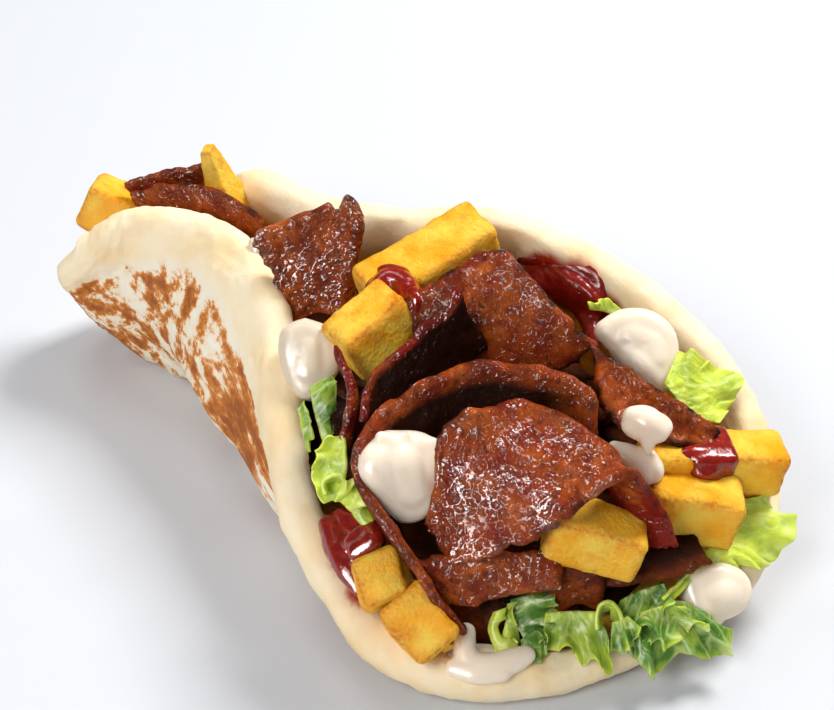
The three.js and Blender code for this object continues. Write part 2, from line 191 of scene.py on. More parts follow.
def grey(value):
    """A grey for a colour ramp, from 0, black, to 1, white."""
    return value, value, value, 1.0


# ---------------------------------------------------------------- the flatbread

# Once round the bread: its puffed edge (x, y, z), the foot of the wall below (x, y), and the wall's lean at the
# edge in degrees, from 0, flat on the ground, through 90, upright, to more, curling in. Millimetres.
RIM = (
    (-102, -20, 17, -96, -17, 70), (-98, -26, 27, -92, -16, 85), (-91, -22, 36, -86, -16, 98),
    (-84, -17, 40, -79, -17, 110), (-70, -13, 43, -69, -20, 132), (-56, -14, 44, -58, -28, 144),
    (-42, -20, 42, -48, -34, 144), (-31, -28, 37, -38, -35, 128), (-20, -38, 31, -24, -42, 105),
    (-8, -48, 23, -6, -46, 68), (5, -53, 15, 7, -47, 48), (21, -56, 9, 21, -48, 25), (36, -52, 6, 33, -43, 12),
    (49, -40, 5, 42, -33, 8), (58, -23, 5, 49, -19, 8), (66, -4, 8, 56, -4, 18), (64, 14, 15, 57, 10, 40),
    (54, 27, 23, 51, 23, 58), (39, 34, 31, 38, 33, 72), (20, 36, 38, 20, 38, 82), (-1, 34, 43, -2, 38, 88),
    (-18, 27, 46, -21, 32, 92), (-33, 16, 45, -37, 23, 95), (-51, 10, 43, -53, 19, 95), (-72, 9, 42, -72, 17, 92),
    (-84, 7, 32, -85, 10, 85), (-94, -2, 20, -92, 0, 70), (-100, -11, 14, -95, -9, 62),
)
BREAD_CENTRE = (-12, -11)  # where the middle of the round lies
TROUGH_ENDS = (-78, 28)  # how far along the bottom of the fold runs
FLAT_RADIUS = 90  # of the round before it is folded
REST_SINK = 5  # how far the bottom of the trough settles onto the surface below, where it would curve up
REST_REACH = 12  # height over which that fades out
NARROW_END = 0.01  # the turn at which the torn, narrow end is
END_WIDTH = 0.035  # how many turns of the edge it takes up
AROUND = 420  # steps round the bread

rim_line = spline([row[:3] for row in RIM], closed=True)
foot_line = spline([(*row[3:5], 0) for row in RIM], closed=True)
lean_line = spline([row[5:] for row in RIM], closed=True)


def folded(share, turn, base):
    """The bread's middle surface at a share of the flat round's radius, on a turn from 0 to 1."""
    rim = rim_line(turn)
    tangent = rim_line(turn + 1e-4) - rim_line(turn - 1e-4)
    lean = np.radians(lean_line(turn)[:, 0])
    out = unit(np.c_[tangent[:, 1], -tangent[:, 0], 0 * lean])
    rise = out * np.cos(lean)[:, None] + np.c_[0 * lean, 0 * lean, np.sin(lean)]
    foot = foot_line(turn)
    foot[:, 2] = base
    middle = np.array((*BREAD_CENTRE, base))
    trough = np.c_[
        np.clip(0.8 * foot[:, 0], *TROUGH_ENDS), (middle[1] + foot[:, 1]) / 2, 0 * lean + base]
    start = middle + (trough - middle) * smooth(share, 0, 0.6)[:, None]
    below = rim - rise * (0.6 * np.maximum(rim[:, 2] - base, 12))[:, None]
    below[:, 2] = np.maximum(below[:, 2], base)
    t = np.minimum(share, 1)[:, None]
    curve = start * (1 - t) ** 3 + 3 * foot * t * (1 - t) ** 2 + 3 * below * t ** 2 * (1 - t) + rim * t ** 3
    height = curve[:, 2] - base
    sink = REST_SINK * (1 - smooth(height, 0, REST_REACH)) * (1 - smooth(share, 0.2, 0.5))
    curve[:, 2] = base + np.maximum(height - sink, 0)
    return curve + rise * (np.maximum(share - 1, 0) * FLAT_RADIUS)[:, None]


def on_bread(share, turn, height, base):
    """The places that are height above the folded middle surface, on the side of the filling."""
    nudge = 2e-3
    at = np.maximum(share, 0.05)
    outwards = folded(at + nudge, turn, base) - folded(at - nudge, turn, base)
    around = folded(at, turn + nudge, base) - folded(at, turn - nudge, base)
    normal = unit(np.cross(outwards, around))
    normal[share < 0.05] = (0, 0, 1)
    return folded(share, turn, base) + normal * height[:, None]


class BreadSettings(bpy.types.PropertyGroup):
    """Sizes and colours of the flatbread."""

    thick: bpy.props.FloatProperty(
        name="Thickness", description="Thickness of the flat of the bread", default=6 * MM, unit="LENGTH")
    rim_thick: bpy.props.FloatProperty(
        name="Edge thickness", description="Thickness of the puffed edge", default=8.8 * MM, unit="LENGTH")
    puff_width: bpy.props.FloatProperty(
        name="Edge width", description="How far the puffed edge reaches in", default=16 * MM, unit="LENGTH")
    crumb: bpy.props.FloatVectorProperty(
        name="Dough", description="Colour of the pale, floured dough", subtype="COLOR", size=4,
        default=linear("#f7e4c0"))
    warm: bpy.props.FloatVectorProperty(
        name="Warm dough", description="Colour of the dough where it is baked a little more", subtype="COLOR",
        size=4, default=linear("#f0cf96"))
    floured: bpy.props.FloatVectorProperty(
        name="Floured dough", description="Colour of the dough where it lay on the griddle, under its dry flour",
        subtype="COLOR", size=4, default=linear("#efece0"))
    griddle: bpy.props.FloatVectorProperty(
        name="Griddle marks", description="Colour of the browned spots", subtype="COLOR", size=4,
        default=linear("#cc7610"))
    golden: bpy.props.FloatVectorProperty(
        name="Golden rims", description="Colour of the lightly toasted rims of the spots", subtype="COLOR", size=4,
        default=linear("#e9a843"))
    scorch: bpy.props.FloatVectorProperty(
        name="Scorch marks", description="Colour of the darkest spots", subtype="COLOR", size=4,
        default=linear("#94480b"))
    # The inside's colour is partly oil and juice and partly painted warm bounce light, made bright to lift the
    # shade inside the fold.
    inside: bpy.props.FloatVectorProperty(
        name="Inside", description="Colour of the inside, golden with oil and juice", subtype="COLOR", size=4,
        default=linear("#ffc13c"))
    stain: bpy.props.FloatVectorProperty(
        name="Stains", description="Colour of the dough where red sauce has soaked in", subtype="COLOR", size=4,
        default=linear("#b3301a"))


def griddled_dough(settings):
    """Baked wheat dough, dusted with flour and browned on a griddle: matt and soft, with toasted spots."""
    material, tree, place = new_material("griddled_dough")
    polar = add_node(tree, "ShaderNodeAttribute", attribute_name="round_the_bread").outputs["Vector"]
    under, stain, inner = (
        add_node(tree, "ShaderNodeAttribute", attribute_name=name).outputs["Fac"]
        for name in ("griddled", "stained", "oiled"))
    # pale dough, warmer in swells 11 mm across, golden inside with oil and with painted warm bounce light
    swells = add_node(tree, "ShaderNodeTexNoise", {"Vector": place, "Scale": 1 / 11, "Detail": 3.0})
    warmer = add_node(tree, "ShaderNodeValToRGB", {0: swells.outputs[0]}, stops=(
        (0.42, grey(0)), (0.68, grey(0.75)))).outputs[0]
    dough = add_node(tree, "ShaderNodeMix", {
        0: warmer, 6: settings.crumb, 7: settings.warm}, data_type="RGBA").outputs[2]
    floured = add_node(tree, "ShaderNodeMapRange", {0: under, 4: 0.6}).outputs[0]
    dough = add_node(tree, "ShaderNodeMix", {
        0: floured, 6: dough, 7: settings.floured}, data_type="RGBA").outputs[2]
    dough = add_node(tree, "ShaderNodeMix", {
        0: inner, 6: dough, 7: settings.inside}, data_type="RGBA").outputs[2]
    # toasted spots 2 to 6 mm wide, round at the narrow end and drawn out into streaks from the waist on
    streaks = add_node(tree, "ShaderNodeMapping", {"Vector": polar, "Scale": (0.4, 1.3, 1.0)}).outputs[0]
    along = add_node(tree, "ShaderNodeSeparateXYZ", {0: place}).outputs[0]
    drawn = add_node(tree, "ShaderNodeMapRange", {0: along, 1: -62, 2: -38, 3: 0.0, 4: 0.75}).outputs[0]
    round_spots, long_spots = (
        add_node(tree, "ShaderNodeTexNoise", {
            "Vector": spot, "Scale": 1 / 5.5, "Detail": 6.0, "Roughness": 0.68}).outputs[0]
        for spot in (place, streaks))
    masked = add_node(tree, "ShaderNodeMix", {0: drawn, 2: round_spots, 3: long_spots}).outputs[0]
    # they come in patches 24 mm across, have edges that crumble over 1.6 mm, and stay on the griddled side
    patches = add_node(tree, "ShaderNodeTexNoise", {"Vector": place, "Scale": 1 / 24, "Detail": 2.0}).outputs[0]
    crumbs = add_node(tree, "ShaderNodeTexNoise", {"Vector": place, "Scale": 1 / 1.6, "Detail": 3.0}).outputs[0]
    for source, spread in (
            (patches, {1: 0.35, 2: 0.65, 3: -0.07, 4: 0.09}),
            (crumbs, {1: 0.35, 2: 0.65, 3: -0.03, 4: 0.03}),
            (under, {1: 0.0, 2: 1.0, 3: -0.35, 4: 0.024})):
        offset = add_node(tree, "ShaderNodeMapRange", {0: source, **spread}).outputs[0]
        masked = add_node(tree, "ShaderNodeMath", {0: masked, 1: offset}, operation="ADD").outputs[0]
    # each is golden at its rim, then brown, then scorched
    toasted = add_node(tree, "ShaderNodeValToRGB", {0: masked}, stops=(
        (0.43, grey(0)), (0.5, grey(0.2)), (0.53, grey(0.8)), (0.57, grey(1)))).outputs[0]
    deep = add_node(tree, "ShaderNodeValToRGB", {0: masked}, stops=(
        (0.56, grey(0)), (0.66, grey(0.9)))).outputs[0]
    brown = add_node(tree, "ShaderNodeMapRange", {0: masked, 1: 0.5, 2: 0.56}).outputs[0]
    spots = add_node(tree, "ShaderNodeMix", {
        0: brown, 6: settings.golden, 7: settings.griddle}, data_type="RGBA").outputs[2]
    spots = add_node(tree, "ShaderNodeMix", {
        0: deep, 6: spots, 7: settings.scorch}, data_type="RGBA").outputs[2]
    baked = add_node(tree, "ShaderNodeMix", {
        0: toasted, 6: dough, 7: spots}, data_type="RGBA").outputs[2]
    sauced = add_node(tree, "ShaderNodeMix", {
        0: stain, 6: baked, 7: settings.stain}, data_type="RGBA").outputs[2]
    # a dusty bump 1.1 mm fine over pores 3.2 mm apart
    flour = add_node(tree, "ShaderNodeTexNoise", {"Vector": place, "Scale": 1 / 1.1, "Detail": 3.0})
    pores = add_node(tree, "ShaderNodeTexNoise", {"Vector": place, "Scale": 1 / 3.2, "Detail": 4.0})
    fine = add_node(tree, "ShaderNodeBump", {
        "Height": flour.outputs[0], "Strength": 0.25, "Distance": 0.25 * MM})
    coarse = add_node(tree, "ShaderNodeBump", {
        "Height": pores.outputs[0], "Strength": 0.5, "Distance": 0.7 * MM, "Normal": fine.outputs[0]})
    wet = add_node(tree, "ShaderNodeMapRange", {0: stain, 3: 0.72, 4: 0.3}).outputs[0]
    shader = add_node(tree, "ShaderNodeBsdfPrincipled", {
        "Base Color": sauced, "Normal": coarse.outputs[0], "IOR": 1.45, "Specular IOR Level": 0.2,
        "Subsurface Weight": 0.2, "Subsurface Radius": (1.0, 0.7, 0.35), "Subsurface Scale": 4 * MM,
        "Roughness": wet})
    add_node(tree, "ShaderNodeOutputMaterial", {"Surface": shader.outputs[0]})
    return material


# where red sauce has soaked into the bread: middle and reach, in millimetres
STAINS = (
    ((-3, 30, 39), 7), ((4, 31, 38), 8), ((10, 31, 35), 7),
    ((4, -49.5, 24), 4), ((9, -51, 20), 4), ((14, -53, 15), 4),
)


def flat_round(thick, rim_thick, puff):
    """The round of dough before it is folded, in millimetres: its section, spun. It is thicker at its edge."""
    def half(share):
        return (thick + (rim_thick - thick) * smooth((share - 1) * FLAT_RADIUS, -puff, -2)) / 2

    # the section runs out along the top, round the edge's nose and back along the underside
    shares = np.r_[np.linspace(0, 0.5, 14), np.linspace(0.515, 1, 58)]
    nose = np.radians(np.linspace(0, 180, 14)[1:-1])
    radius = np.r_[shares * FLAT_RADIUS, FLAT_RADIUS + half(1) * np.sin(nose), shares[::-1] * FLAT_RADIUS]
    height = np.r_[half(shares), half(1) * np.cos(nose), -half(shares)[::-1]]
    bm = bmesh.new()
    profile = [bm.verts.new((r, 0, h)) for r, h in zip(radius, height)]
    lines = [bm.edges.new(pair) for pair in zip(profile, profile[1:])]
    bmesh.ops.spin(
        bm, geom=profile + lines, axis=(0, 0, 1), cent=(0, 0, 0), angle=math.tau, steps=AROUND, use_merge=True)
    bmesh.ops.remove_doubles(bm, verts=bm.verts, dist=1e-4)
    return bm


def soaked(places):
    """How much red sauce has soaked in at each place, from 0 to 1, with ragged edges."""
    most = np.zeros(len(places))
    for middle, reach in STAINS:
        away = np.linalg.norm(places - middle, axis=1) / reach
        most = np.maximum(most, smooth(-away - 0.14 * grain(places, 6, 8), -1.05, -0.7))
    return most


class SANDWICH_OT_flatbread(bpy.types.Operator):
    """Makes the folded round of flatbread with its puffed edge"""

    bl_idname = "sandwich.flatbread"
    bl_label = "Flatbread"

    def execute(self, context):
        settings = context.scene.sandwich_bread
        thick, rim_thick, puff = (v / MM for v in (settings.thick, settings.rim_thick, settings.puff_width))
        bm = flat_round(thick, rim_thick, puff)
        flat = points_of(bm)
        share = np.hypot(flat[:, 0], flat[:, 1]) / FLAT_RADIUS
        turn = np.arctan2(flat[:, 1], flat[:, 0]) / math.tau % 1
        ring = np.c_[np.cos(turn * math.tau), np.sin(turn * math.tau), 0 * turn]
        # how near each point is to the narrow end, whichever way round
        near_end = np.exp(-((((turn - NARROW_END + 0.5) % 1) - 0.5) / END_WIDTH) ** 2)
        edge = smooth(share, 0.86, 1.0)
        # the edge wanders, most at the narrow end, and the dough swells between its air bubbles
        fray = grain(ring * 90, 4, 3, 4) * (0.004 + 0.03 * near_end) + grain(ring * 90, 26, 4, 2) * 0.006
        swell = (
            0.5 * grain(flat * (1, 1, 3), 16, 1) + 0.2 * grain(flat * (1, 1, 3), 5, 2)
            + edge * 0.5 * grain(flat * (1, 1, 3), 9, 7) + edge * near_end * 0.4 * grain(flat, 3.2, 5)
            + 0.16 * grain(flat, 2.2, 9))
        # 1 on the side of the filling, -1 below, and between the two on the edge's nose
        side = np.sign(flat[:, 2]) * np.minimum(1, np.abs(flat[:, 2]) / 2)
        places = on_bread(share + fray * edge, turn, flat[:, 2] + swell * side, thick / 2)
        places[:, 2] = np.maximum(places[:, 2], 0)
        reshape(bm, places)
        bmesh.ops.recalc_face_normals(bm, faces=bm.faces)

        length = FLAT_RADIUS * math.tau
        paint(bm, "round_the_bread", np.c_[turn * length, share * FLAT_RADIUS, side * 40])
        paint(bm, "griddled", smooth(-side, 0, 0.9) * (1 - smooth(share, 0.84, 0.93)))
        # golden inside: oil and juice, with painted warm bounce light
        paint(bm, "oiled", smooth(side, 0, 0.8) * (1 - smooth(share, 0.88, 0.99)))
        paint(bm, "stained", soaked(places) * smooth(side, -0.2, 0.4))
        serve("folded_flatbread", bm, griddled_dough(settings), "bread", "flatbread")
        return {"FINISHED"}


# ---------------------------------------------------------------- meat

def slab(along, across, layers=3):
    """A closed unit slab: u and v from 0 to 1 in rows of squares, and w from -1 to 1 through its thickness."""
    bm = bmesh.new()
    bmesh.ops.create_grid(bm, x_segments=along, y_segments=across, size=0.5)
    walls = bmesh.ops.extrude_face_region(bm, geom=bm.faces[:])
    lid = [part for part in walls["geom"] if isinstance(part, bmesh.types.BMVert)]
    bmesh.ops.translate(bm, vec=(0, 0, 2), verts=lid)
    upright = [edge for edge in bm.edges if abs(edge.verts[0].co.z - edge.verts[1].co.z) > 1]
    bmesh.ops.subdivide_edges(bm, edges=upright, cuts=layers - 1, use_grid_fill=True)
    bmesh.ops.translate(bm, vec=(0.5, 0.5, -1), verts=bm.verts)
    bmesh.ops.recalc_face_normals(bm, faces=bm.faces)
    return bm


def sheet(edge, hem, bow=0.0, waves=0.0, wave=0.0, seed=1):
    """The middle surface of a thin sheet between two lines, as a function of u along and v across."""
    near, far = spline(edge), spline(hem)

    def at(u, v):
        nudge = 0.02
        start = near(u)
        across = far(u) - start
        along = far(u + nudge) - far(u - nudge) + near(u + nudge) - near(u - nudge)
        side = unit(np.cross(along, across))
        ripple = wave * v * v * np.sin(math.tau * waves * u + 2 * seed) + bow * 4 * v * (1 - v)
        return start + across * v[:, None] + side * ripple[:, None]

    return at


def sheet_normal(surface, u, v, nudge=1e-2):
    """The direction that a sheet faces at places along and across it."""
    along = surface(u + nudge, v) - surface(u - nudge, v)
    across = surface(u, v + nudge) - surface(u, v - nudge)
    return unit(np.cross(along, across))


def spans(surface):
    """The length of a sheet along its middle, and its width across."""
    steps = np.linspace(0, 1, 41)
    half = np.full(len(steps), 0.5)
    along = np.linalg.norm(np.diff(surface(steps, half), axis=0), axis=1).sum()
    across = np.linalg.norm(np.diff(surface(half, steps), axis=0), axis=1).sum()
    return along, across


# Each slice of meat, in millimetres: edge and hem are its two long lines, and bow rounds it out between them.
# Nicks, (share along, width, depth), are cut into its edge. Chilli is how red its oil is, char how burnt its edges
# are and glaze how wet it is. It grows red and ruddy, or dry, from one share across to another, and from one share
# along to another; deep, between such shares, is painted shade, where the slice is painted dark as it sinks into
# shadow. Slim is its thickness at its start and at its end against a plain slice's.
SLICES = {
    "upright": dict(
        edge=((-45, -19, 57), (-37, -9, 62), (-31, -4, 66), (-26, -7, 61)),
        hem=((-36, -19, 36), (-32, -15, 34), (-28, -12, 36), (-29, -6, 38)),
        bow=1.5, nicks=((0.52, 0.05, 3.5),), chilli=0.1, char=0.5, glaze=1.0, deep=((0.8, 1.3), (-1, 0))),
    "saddle": dict(
        edge=((-9, -13, 54), (-5, -5, 58), (-1, 3, 61), (4, 6, 62)),
        hem=((-3, -7, 33), (8, -6, 38), (20, 0, 42), (27, 6, 49)), bow=-3, chilli=0.4, char=1.0, glaze=0.5,
        deep=((0.08, 0.4), (0.55, 0.2))),
    "hoop": dict(
        edge=((37, -10, 50), (33, -9, 53), (26, -14, 56), (17, -22, 57), (11, -32, 55), (8, -41, 52),
              (9, -49, 46), (16, -52, 41), (24, -52, 35), (32, -52, 26), (37, -49, 17)),
        hem=((40, -13, 37), (36, -11, 39), (28, -13, 40), (19, -20, 41), (14, -29, 39), (12, -37, 36),
             (13, -43, 33), (18, -47, 29), (25, -48, 24), (32, -48, 18), (37, -45, 12)), chilli=0.35, glaze=0.6,
        deep=((0.12, 0.32), (0.06, 0.2)), slim=(1.4, 0.7)),
    "glossy": dict(
        edge=((30, -46, 28), (36, -42, 31), (41, -38, 35), (46, -34, 39), (49, -31, 44), (54, -23, 50),
              (58, -15, 39), (61, -12, 28)),
        hem=((22, -43, 32), (22, -40, 42), (20, -36, 50), (23, -29, 54), (31, -21, 54), (47, -18, 50.5),
             (47, -14.5, 37), (51.8, -14, 25.3)), bow=-1.5, chilli=0.4, char=0.4, glaze=1.0,
        ruddy=((-1, 0), (0.78, 0.86)), dry=((-1, 0), (0.5, 0.8))),
    "tongue": dict(
        edge=((30, -49, 20), (37, -44, 21), (43, -38, 23), (48, -32, 23)),
        hem=((24, -50, 29), (33, -41, 30), (45, -30, 30)), chilli=0.4, glaze=0.6),
    "thin_mid": dict(
        edge=((6, -14, 65), (5, -22, 61), (4, -28, 58), (2, -36, 54), (4, -41, 48)),
        hem=((8, -6, 46), (8, -16, 45), (8, -25, 44), (8, -37, 37)), chilli=3.0, glaze=0.8,
        deep=((0.04, 0.12), (-1, 0)), slim=(0.75, 0.6)),
    "thin_left": dict(
        edge=((-10, -32, 53), (-4, -36, 50), (-1, -40, 47), (1, -44, 43)),
        hem=((-7, -29, 36), (-1, -33, 35), (5, -41, 31)), chilli=2.0, glaze=0.8,
        deep=((0.1, 0.3), (-1, 0)), slim=(0.7, 0.6)),
    "dark_right": dict(
        edge=((26, 5, 50), (37, 6, 47), (48, 9, 42), (54, 12, 37)),
        hem=((35, -4, 45), (42, -4, 42), (49, 1, 39), (56, 9, 35)), bow=1.5, char=0.9, glaze=0.5),
    "end_back": dict(
        edge=((-94, -12, 44.5), (-90, -8, 46.5), (-85, -4, 48), (-79, 1, 50.5)),
        hem=((-90, -8, 30), (-86, -4, 31), (-81, -1, 32), (-76, 3, 34)), chilli=0.6, glaze=0.8, slim=(0.55, 0.6)),
    "end_front": dict(
        edge=((-92, -12, 42.5), (-85, -9.5, 47), (-77, -7, 49.5), (-66, -5, 50), (-57, -5, 48.5)),
        hem=((-90, -10, 30), (-81, -9, 33), (-71, -7.5, 35), (-61, -6, 36), (-53, -5, 36)), char=0.6, glaze=0.5,
        slim=(0.55, 0.6)),
    "low_right": dict(
        edge=((49, -26, 19), (56, -20, 20), (61, -16, 21), (64, -12, 21.5), (66, -7, 22)),
        hem=((40, -18, 22), (45, -11, 22), (50, -6, 22), (54, 0, 22)), bow=1, chilli=0.3,
        deep=((-0.4, 0.3), (-1, 0))),
    "low_mid": dict(
        edge=((44, -33, 26), (48, -28, 26), (52, -24, 24)),
        hem=((44, -32, 13), (48, -27, 14), (52, -23, 13)), chilli=0.3, deep=((1.2, -0.8), (-1, 0))),
}


class MeatSettings(bpy.types.PropertyGroup):
    """Sizes and colours of the carved meat."""

    thick: bpy.props.FloatProperty(
        name="Slice thickness", description="Thickness of a carved slice", default=2.6 * MM, unit="LENGTH")
    tear: bpy.props.FloatProperty(
        name="Torn edge", description="How far a slice's torn edge wanders", default=0.75 * MM, unit="LENGTH")
    lean: bpy.props.FloatVectorProperty(
        name="Meat", description="Colour of the roasted meat", subtype="COLOR", size=4, default=linear("#712809"))
    light: bpy.props.FloatVectorProperty(
        name="Light meat", description="Colour of its paler strands", subtype="COLOR", size=4,
        default=linear("#bf5c18"))
    red: bpy.props.FloatVectorProperty(
        name="Chilli oil", description="Colour of the spiced oil on it", subtype="COLOR", size=4,
        default=linear("#7e1808"))
    # The charred colour is also the colour of the painted shade on the meat, where slices and the packed filling
    # are painted dark.
    char: bpy.props.FloatVectorProperty(
        name="Charred edge", description="Colour of its charred edges", subtype="COLOR", size=4,
        default=linear("#1e0a03"))


def roasted_meat(settings):
    """Pressed, spit-roasted meat, carved thin: coarse brown grain, charred edges, a wet skin of fat and juice."""
    material, tree, place = new_material("roasted_meat")
    # The charred attribute holds how burnt each vertex is, together with the painted shade laid over it.
    char, chilli, glaze = (
        add_node(tree, "ShaderNodeAttribute", attribute_name=name).outputs["Fac"]
        for name in ("charred", "chilli", "glazed"))
    # lean and paler strands in patches 5 mm across, reddened by oil in patches of 7.5 mm
    mottle = add_node(tree, "ShaderNodeTexNoise", {
        "Vector": place, "Scale": 1 / 5, "Detail": 6.0, "Roughness": 0.62, "Distortion": 0.4}).outputs[0]
    strands = add_node(tree, "ShaderNodeValToRGB", {0: mottle}, stops=(
        (0.38, grey(0)), (0.66, grey(0.9)))).outputs[0]
    flesh = add_node(tree, "ShaderNodeMix", {
        0: strands, 6: settings.lean, 7: settings.light}, data_type="RGBA").outputs[2]
    oil = add_node(tree, "ShaderNodeTexNoise", {
        "Vector": place, "Scale": 1 / 7.5, "Detail": 4.0, "Roughness": 0.6}).outputs[0]
    pooled = add_node(tree, "ShaderNodeMapRange", {0: oil, 1: 0.42, 2: 0.6, 3: 0.15, 4: 1.5}).outputs[0]
    reddened = add_node(tree, "ShaderNodeMath", {
        0: pooled, 1: chilli}, operation="MULTIPLY", use_clamp=True).outputs[0]
    oiled = add_node(tree, "ShaderNodeMix", {
        0: reddened, 6: flesh, 7: settings.red}, data_type="RGBA").outputs[2]
    # a mince 1.5 mm coarse, with dark pits between its grains
    mince = add_node(tree, "ShaderNodeTexNoise", {
        "Vector": place, "Scale": 1 / 1.5, "Detail": 5.0, "Roughness": 0.65}).outputs[0]
    pits = add_node(tree, "ShaderNodeMapRange", {0: mince, 1: 0.3, 2: 0.47, 3: 0.7, 4: 0.0}).outputs[0]
    pitted = add_node(tree, "ShaderNodeMix", {
        0: pits, 6: oiled, 7: settings.char}, data_type="RGBA").outputs[2]
    # burnt edges and painted shade, both in the charred colour
    burnt_and_shaded = add_node(tree, "ShaderNodeMix", {0: char, 6: pitted, 7: settings.char}, data_type="RGBA").outputs[2]
    grainy = add_node(tree, "ShaderNodeBump", {
        "Height": mince, "Strength": 0.9, "Distance": 0.7 * MM}).outputs[0]
    # over it a skin of fat, wettest in patches 7 mm across, with a wavy net of ridges 2.2 mm apart
    sway = add_node(tree, "ShaderNodeTexNoise", {
        "Vector": place, "Scale": 1 / 2.5, "Detail": 2.0}).outputs["Color"]
    shift = add_node(tree, "ShaderNodeVectorMath", {
        0: sway, 1: (3.0, 3.0, 3.0)}, operation="MULTIPLY").outputs[0]
    swayed = add_node(tree, "ShaderNodeVectorMath", {0: place, 1: shift}, operation="ADD").outputs[0]
    cells = add_node(tree, "ShaderNodeTexVoronoi", {
        "Vector": swayed, "Scale": 1 / 2.2, "Randomness": 1.0}, feature="DISTANCE_TO_EDGE").outputs["Distance"]
    ridges = add_node(tree, "ShaderNodeMapRange", {
        0: cells, 1: 0.0, 2: 0.42, 3: 1.0, 4: 0.0}, interpolation_type="SMOOTHSTEP").outputs[0]
    skin = add_node(tree, "ShaderNodeBump", {
        "Height": mince, "Strength": 0.12, "Distance": 0.4 * MM}).outputs[0]
    ridged = add_node(tree, "ShaderNodeBump", {
        "Height": ridges, "Strength": 1.0, "Distance": 0.6 * MM, "Normal": skin}).outputs[0]
    film = add_node(tree, "ShaderNodeTexNoise", {"Vector": place, "Scale": 1 / 7, "Detail": 2.0}).outputs[0]
    filmed = add_node(tree, "ShaderNodeMapRange", {0: film, 1: 0.4, 2: 0.58, 3: 0.2, 4: 1.0}).outputs[0]
    wet = add_node(tree, "ShaderNodeMath", {0: filmed, 1: glaze}, operation="MULTIPLY").outputs[0]
    shader = add_node(tree, "ShaderNodeBsdfPrincipled", {
        "Base Color": burnt_and_shaded, "Normal": grainy, "Roughness": 0.6, "IOR": 1.45, "Specular IOR Level": 0.04,
        "Coat Weight": wet, "Coat Roughness": 0.06, "Coat IOR": 1.45, "Coat Normal": ridged})
    add_node(tree, "ShaderNodeOutputMaterial", {"Surface": shader.outputs[0]})
    return material


def carve(surface, thick, tear, seed, nicks=(), slim=(1, 1), step=0.55):
    """A slice of meat along a sheet, with torn edges, an uneven thickness and a crumbly grain. Gives how charred
    each vertex is and its place along and across, from 0 to 1, too.
    """
    along, across = spans(surface)
    bm = slab(max(8, round(along / step)), max(6, round(across / step)))
    u, v, w = points_of(bm).T
    thick = thick * (slim[0] + (slim[1] - slim[0]) * u)
    from_end = np.minimum(u, 1 - u) * along
    from_side = np.minimum(v, 1 - v) * across
    border = np.minimum(from_end, from_side)
    lines = np.c_[u * along, v * across, 0 * u]
    # each edge wanders, and the wander fades out over the 3 mm or so inside it
    torn_u = grain(np.c_[v * across, np.sign(u - 0.5) * 9, 0 * u], 4.5, seed, 4) * tear / along
    torn_v = grain(np.c_[u * along, np.sign(v - 0.5) * 9, 0 * u], 4.5, seed + 0.5, 4) * tear / across
    u2 = u + np.sign(u - 0.5) * torn_u * np.exp(-from_end / 3) * 1.3
    v2 = v + np.sign(v - 0.5) * torn_v * np.exp(-from_side / 3) * 1.3
    for place, width, depth in nicks:
        v2 = v2 + np.exp(-((u - place) / width) ** 2) * (1 - v) ** 3 * depth / across
    middle = surface(u2, v2)
    normal = sheet_normal(surface, u2, v2)
    # the slice thins out to a rounded rim, is thick and thin in turns of 8 mm, and is crumbly between
    rounded = np.sqrt(np.clip(1 - (1 - np.clip(border / (0.55 * thick), 0, 1)) ** 2, 0.12, 1))
    body = thick / 2 * (1 + 0.3 * grain(lines, 8, seed + 2, 2)) * rounded
    skin = middle + normal * w[:, None] * 4
    relief = 0.26 * grain(skin, 4.5, seed, 3) + 0.15 * grain(skin, 1.5, seed + 1, 2)
    drift = 0.8 * grain(middle, 11, seed + 3, 2)
    places = middle + normal * (w * (body + relief * rounded) + drift)[:, None]
    reshape(bm, places)
    edge_char = np.exp(-border / 1.1) * (0.4 + 1.3 * grain(middle, 4, seed + 4, 3))
    return bm, np.clip(edge_char, 0, 1), u, v


class SANDWICH_OT_meat_slices(bpy.types.Operator):
    """Carves the slices of meat that show above the filling"""

    bl_idname = "sandwich.meat_slices"
    bl_label = "Meat slices"

    def execute(self, context):
        settings = context.scene.sandwich_meat
        finish = roasted_meat(settings)
        for seed, (name, sizes) in enumerate(SLICES.items(), start=1):
            surface = sheet(sizes["edge"], sizes["hem"], sizes.get("bow", 0.0))
            bm, char, u, v = carve(
                surface, settings.thick / MM, settings.tear / MM, seed, sizes.get("nicks", ()),
                sizes.get("slim", (1, 1)))
            # deep is painted shade: the slice is painted dark there, and made less wet, where it sinks into shadow
            dark, ruddy, dry = (
                smooth(v, *sizes[zone][0]) * smooth(u, *sizes[zone][1]) if zone in sizes else 0 * u
                for zone in ("deep", "ruddy", "dry"))
            # charred holds the burnt edges and, where deep is, the painted shade
            paint(bm, "charred", np.clip(np.maximum(char * (0.3 + sizes.get("char", 0.3)), dark), 0, 0.97))
            paint(bm, "chilli", np.maximum(4 * ruddy, sizes.get("chilli", 0.15)))
            paint(bm, "glazed", np.full(len(char), sizes.get("glaze", 0.3)) * (1 - 0.9 * dark) * (1 - 0.7 * dry))
            serve(f"meat_slice_{name}", bm, finish, "meat", f"slice_{name}")
        return {"FINISHED"}


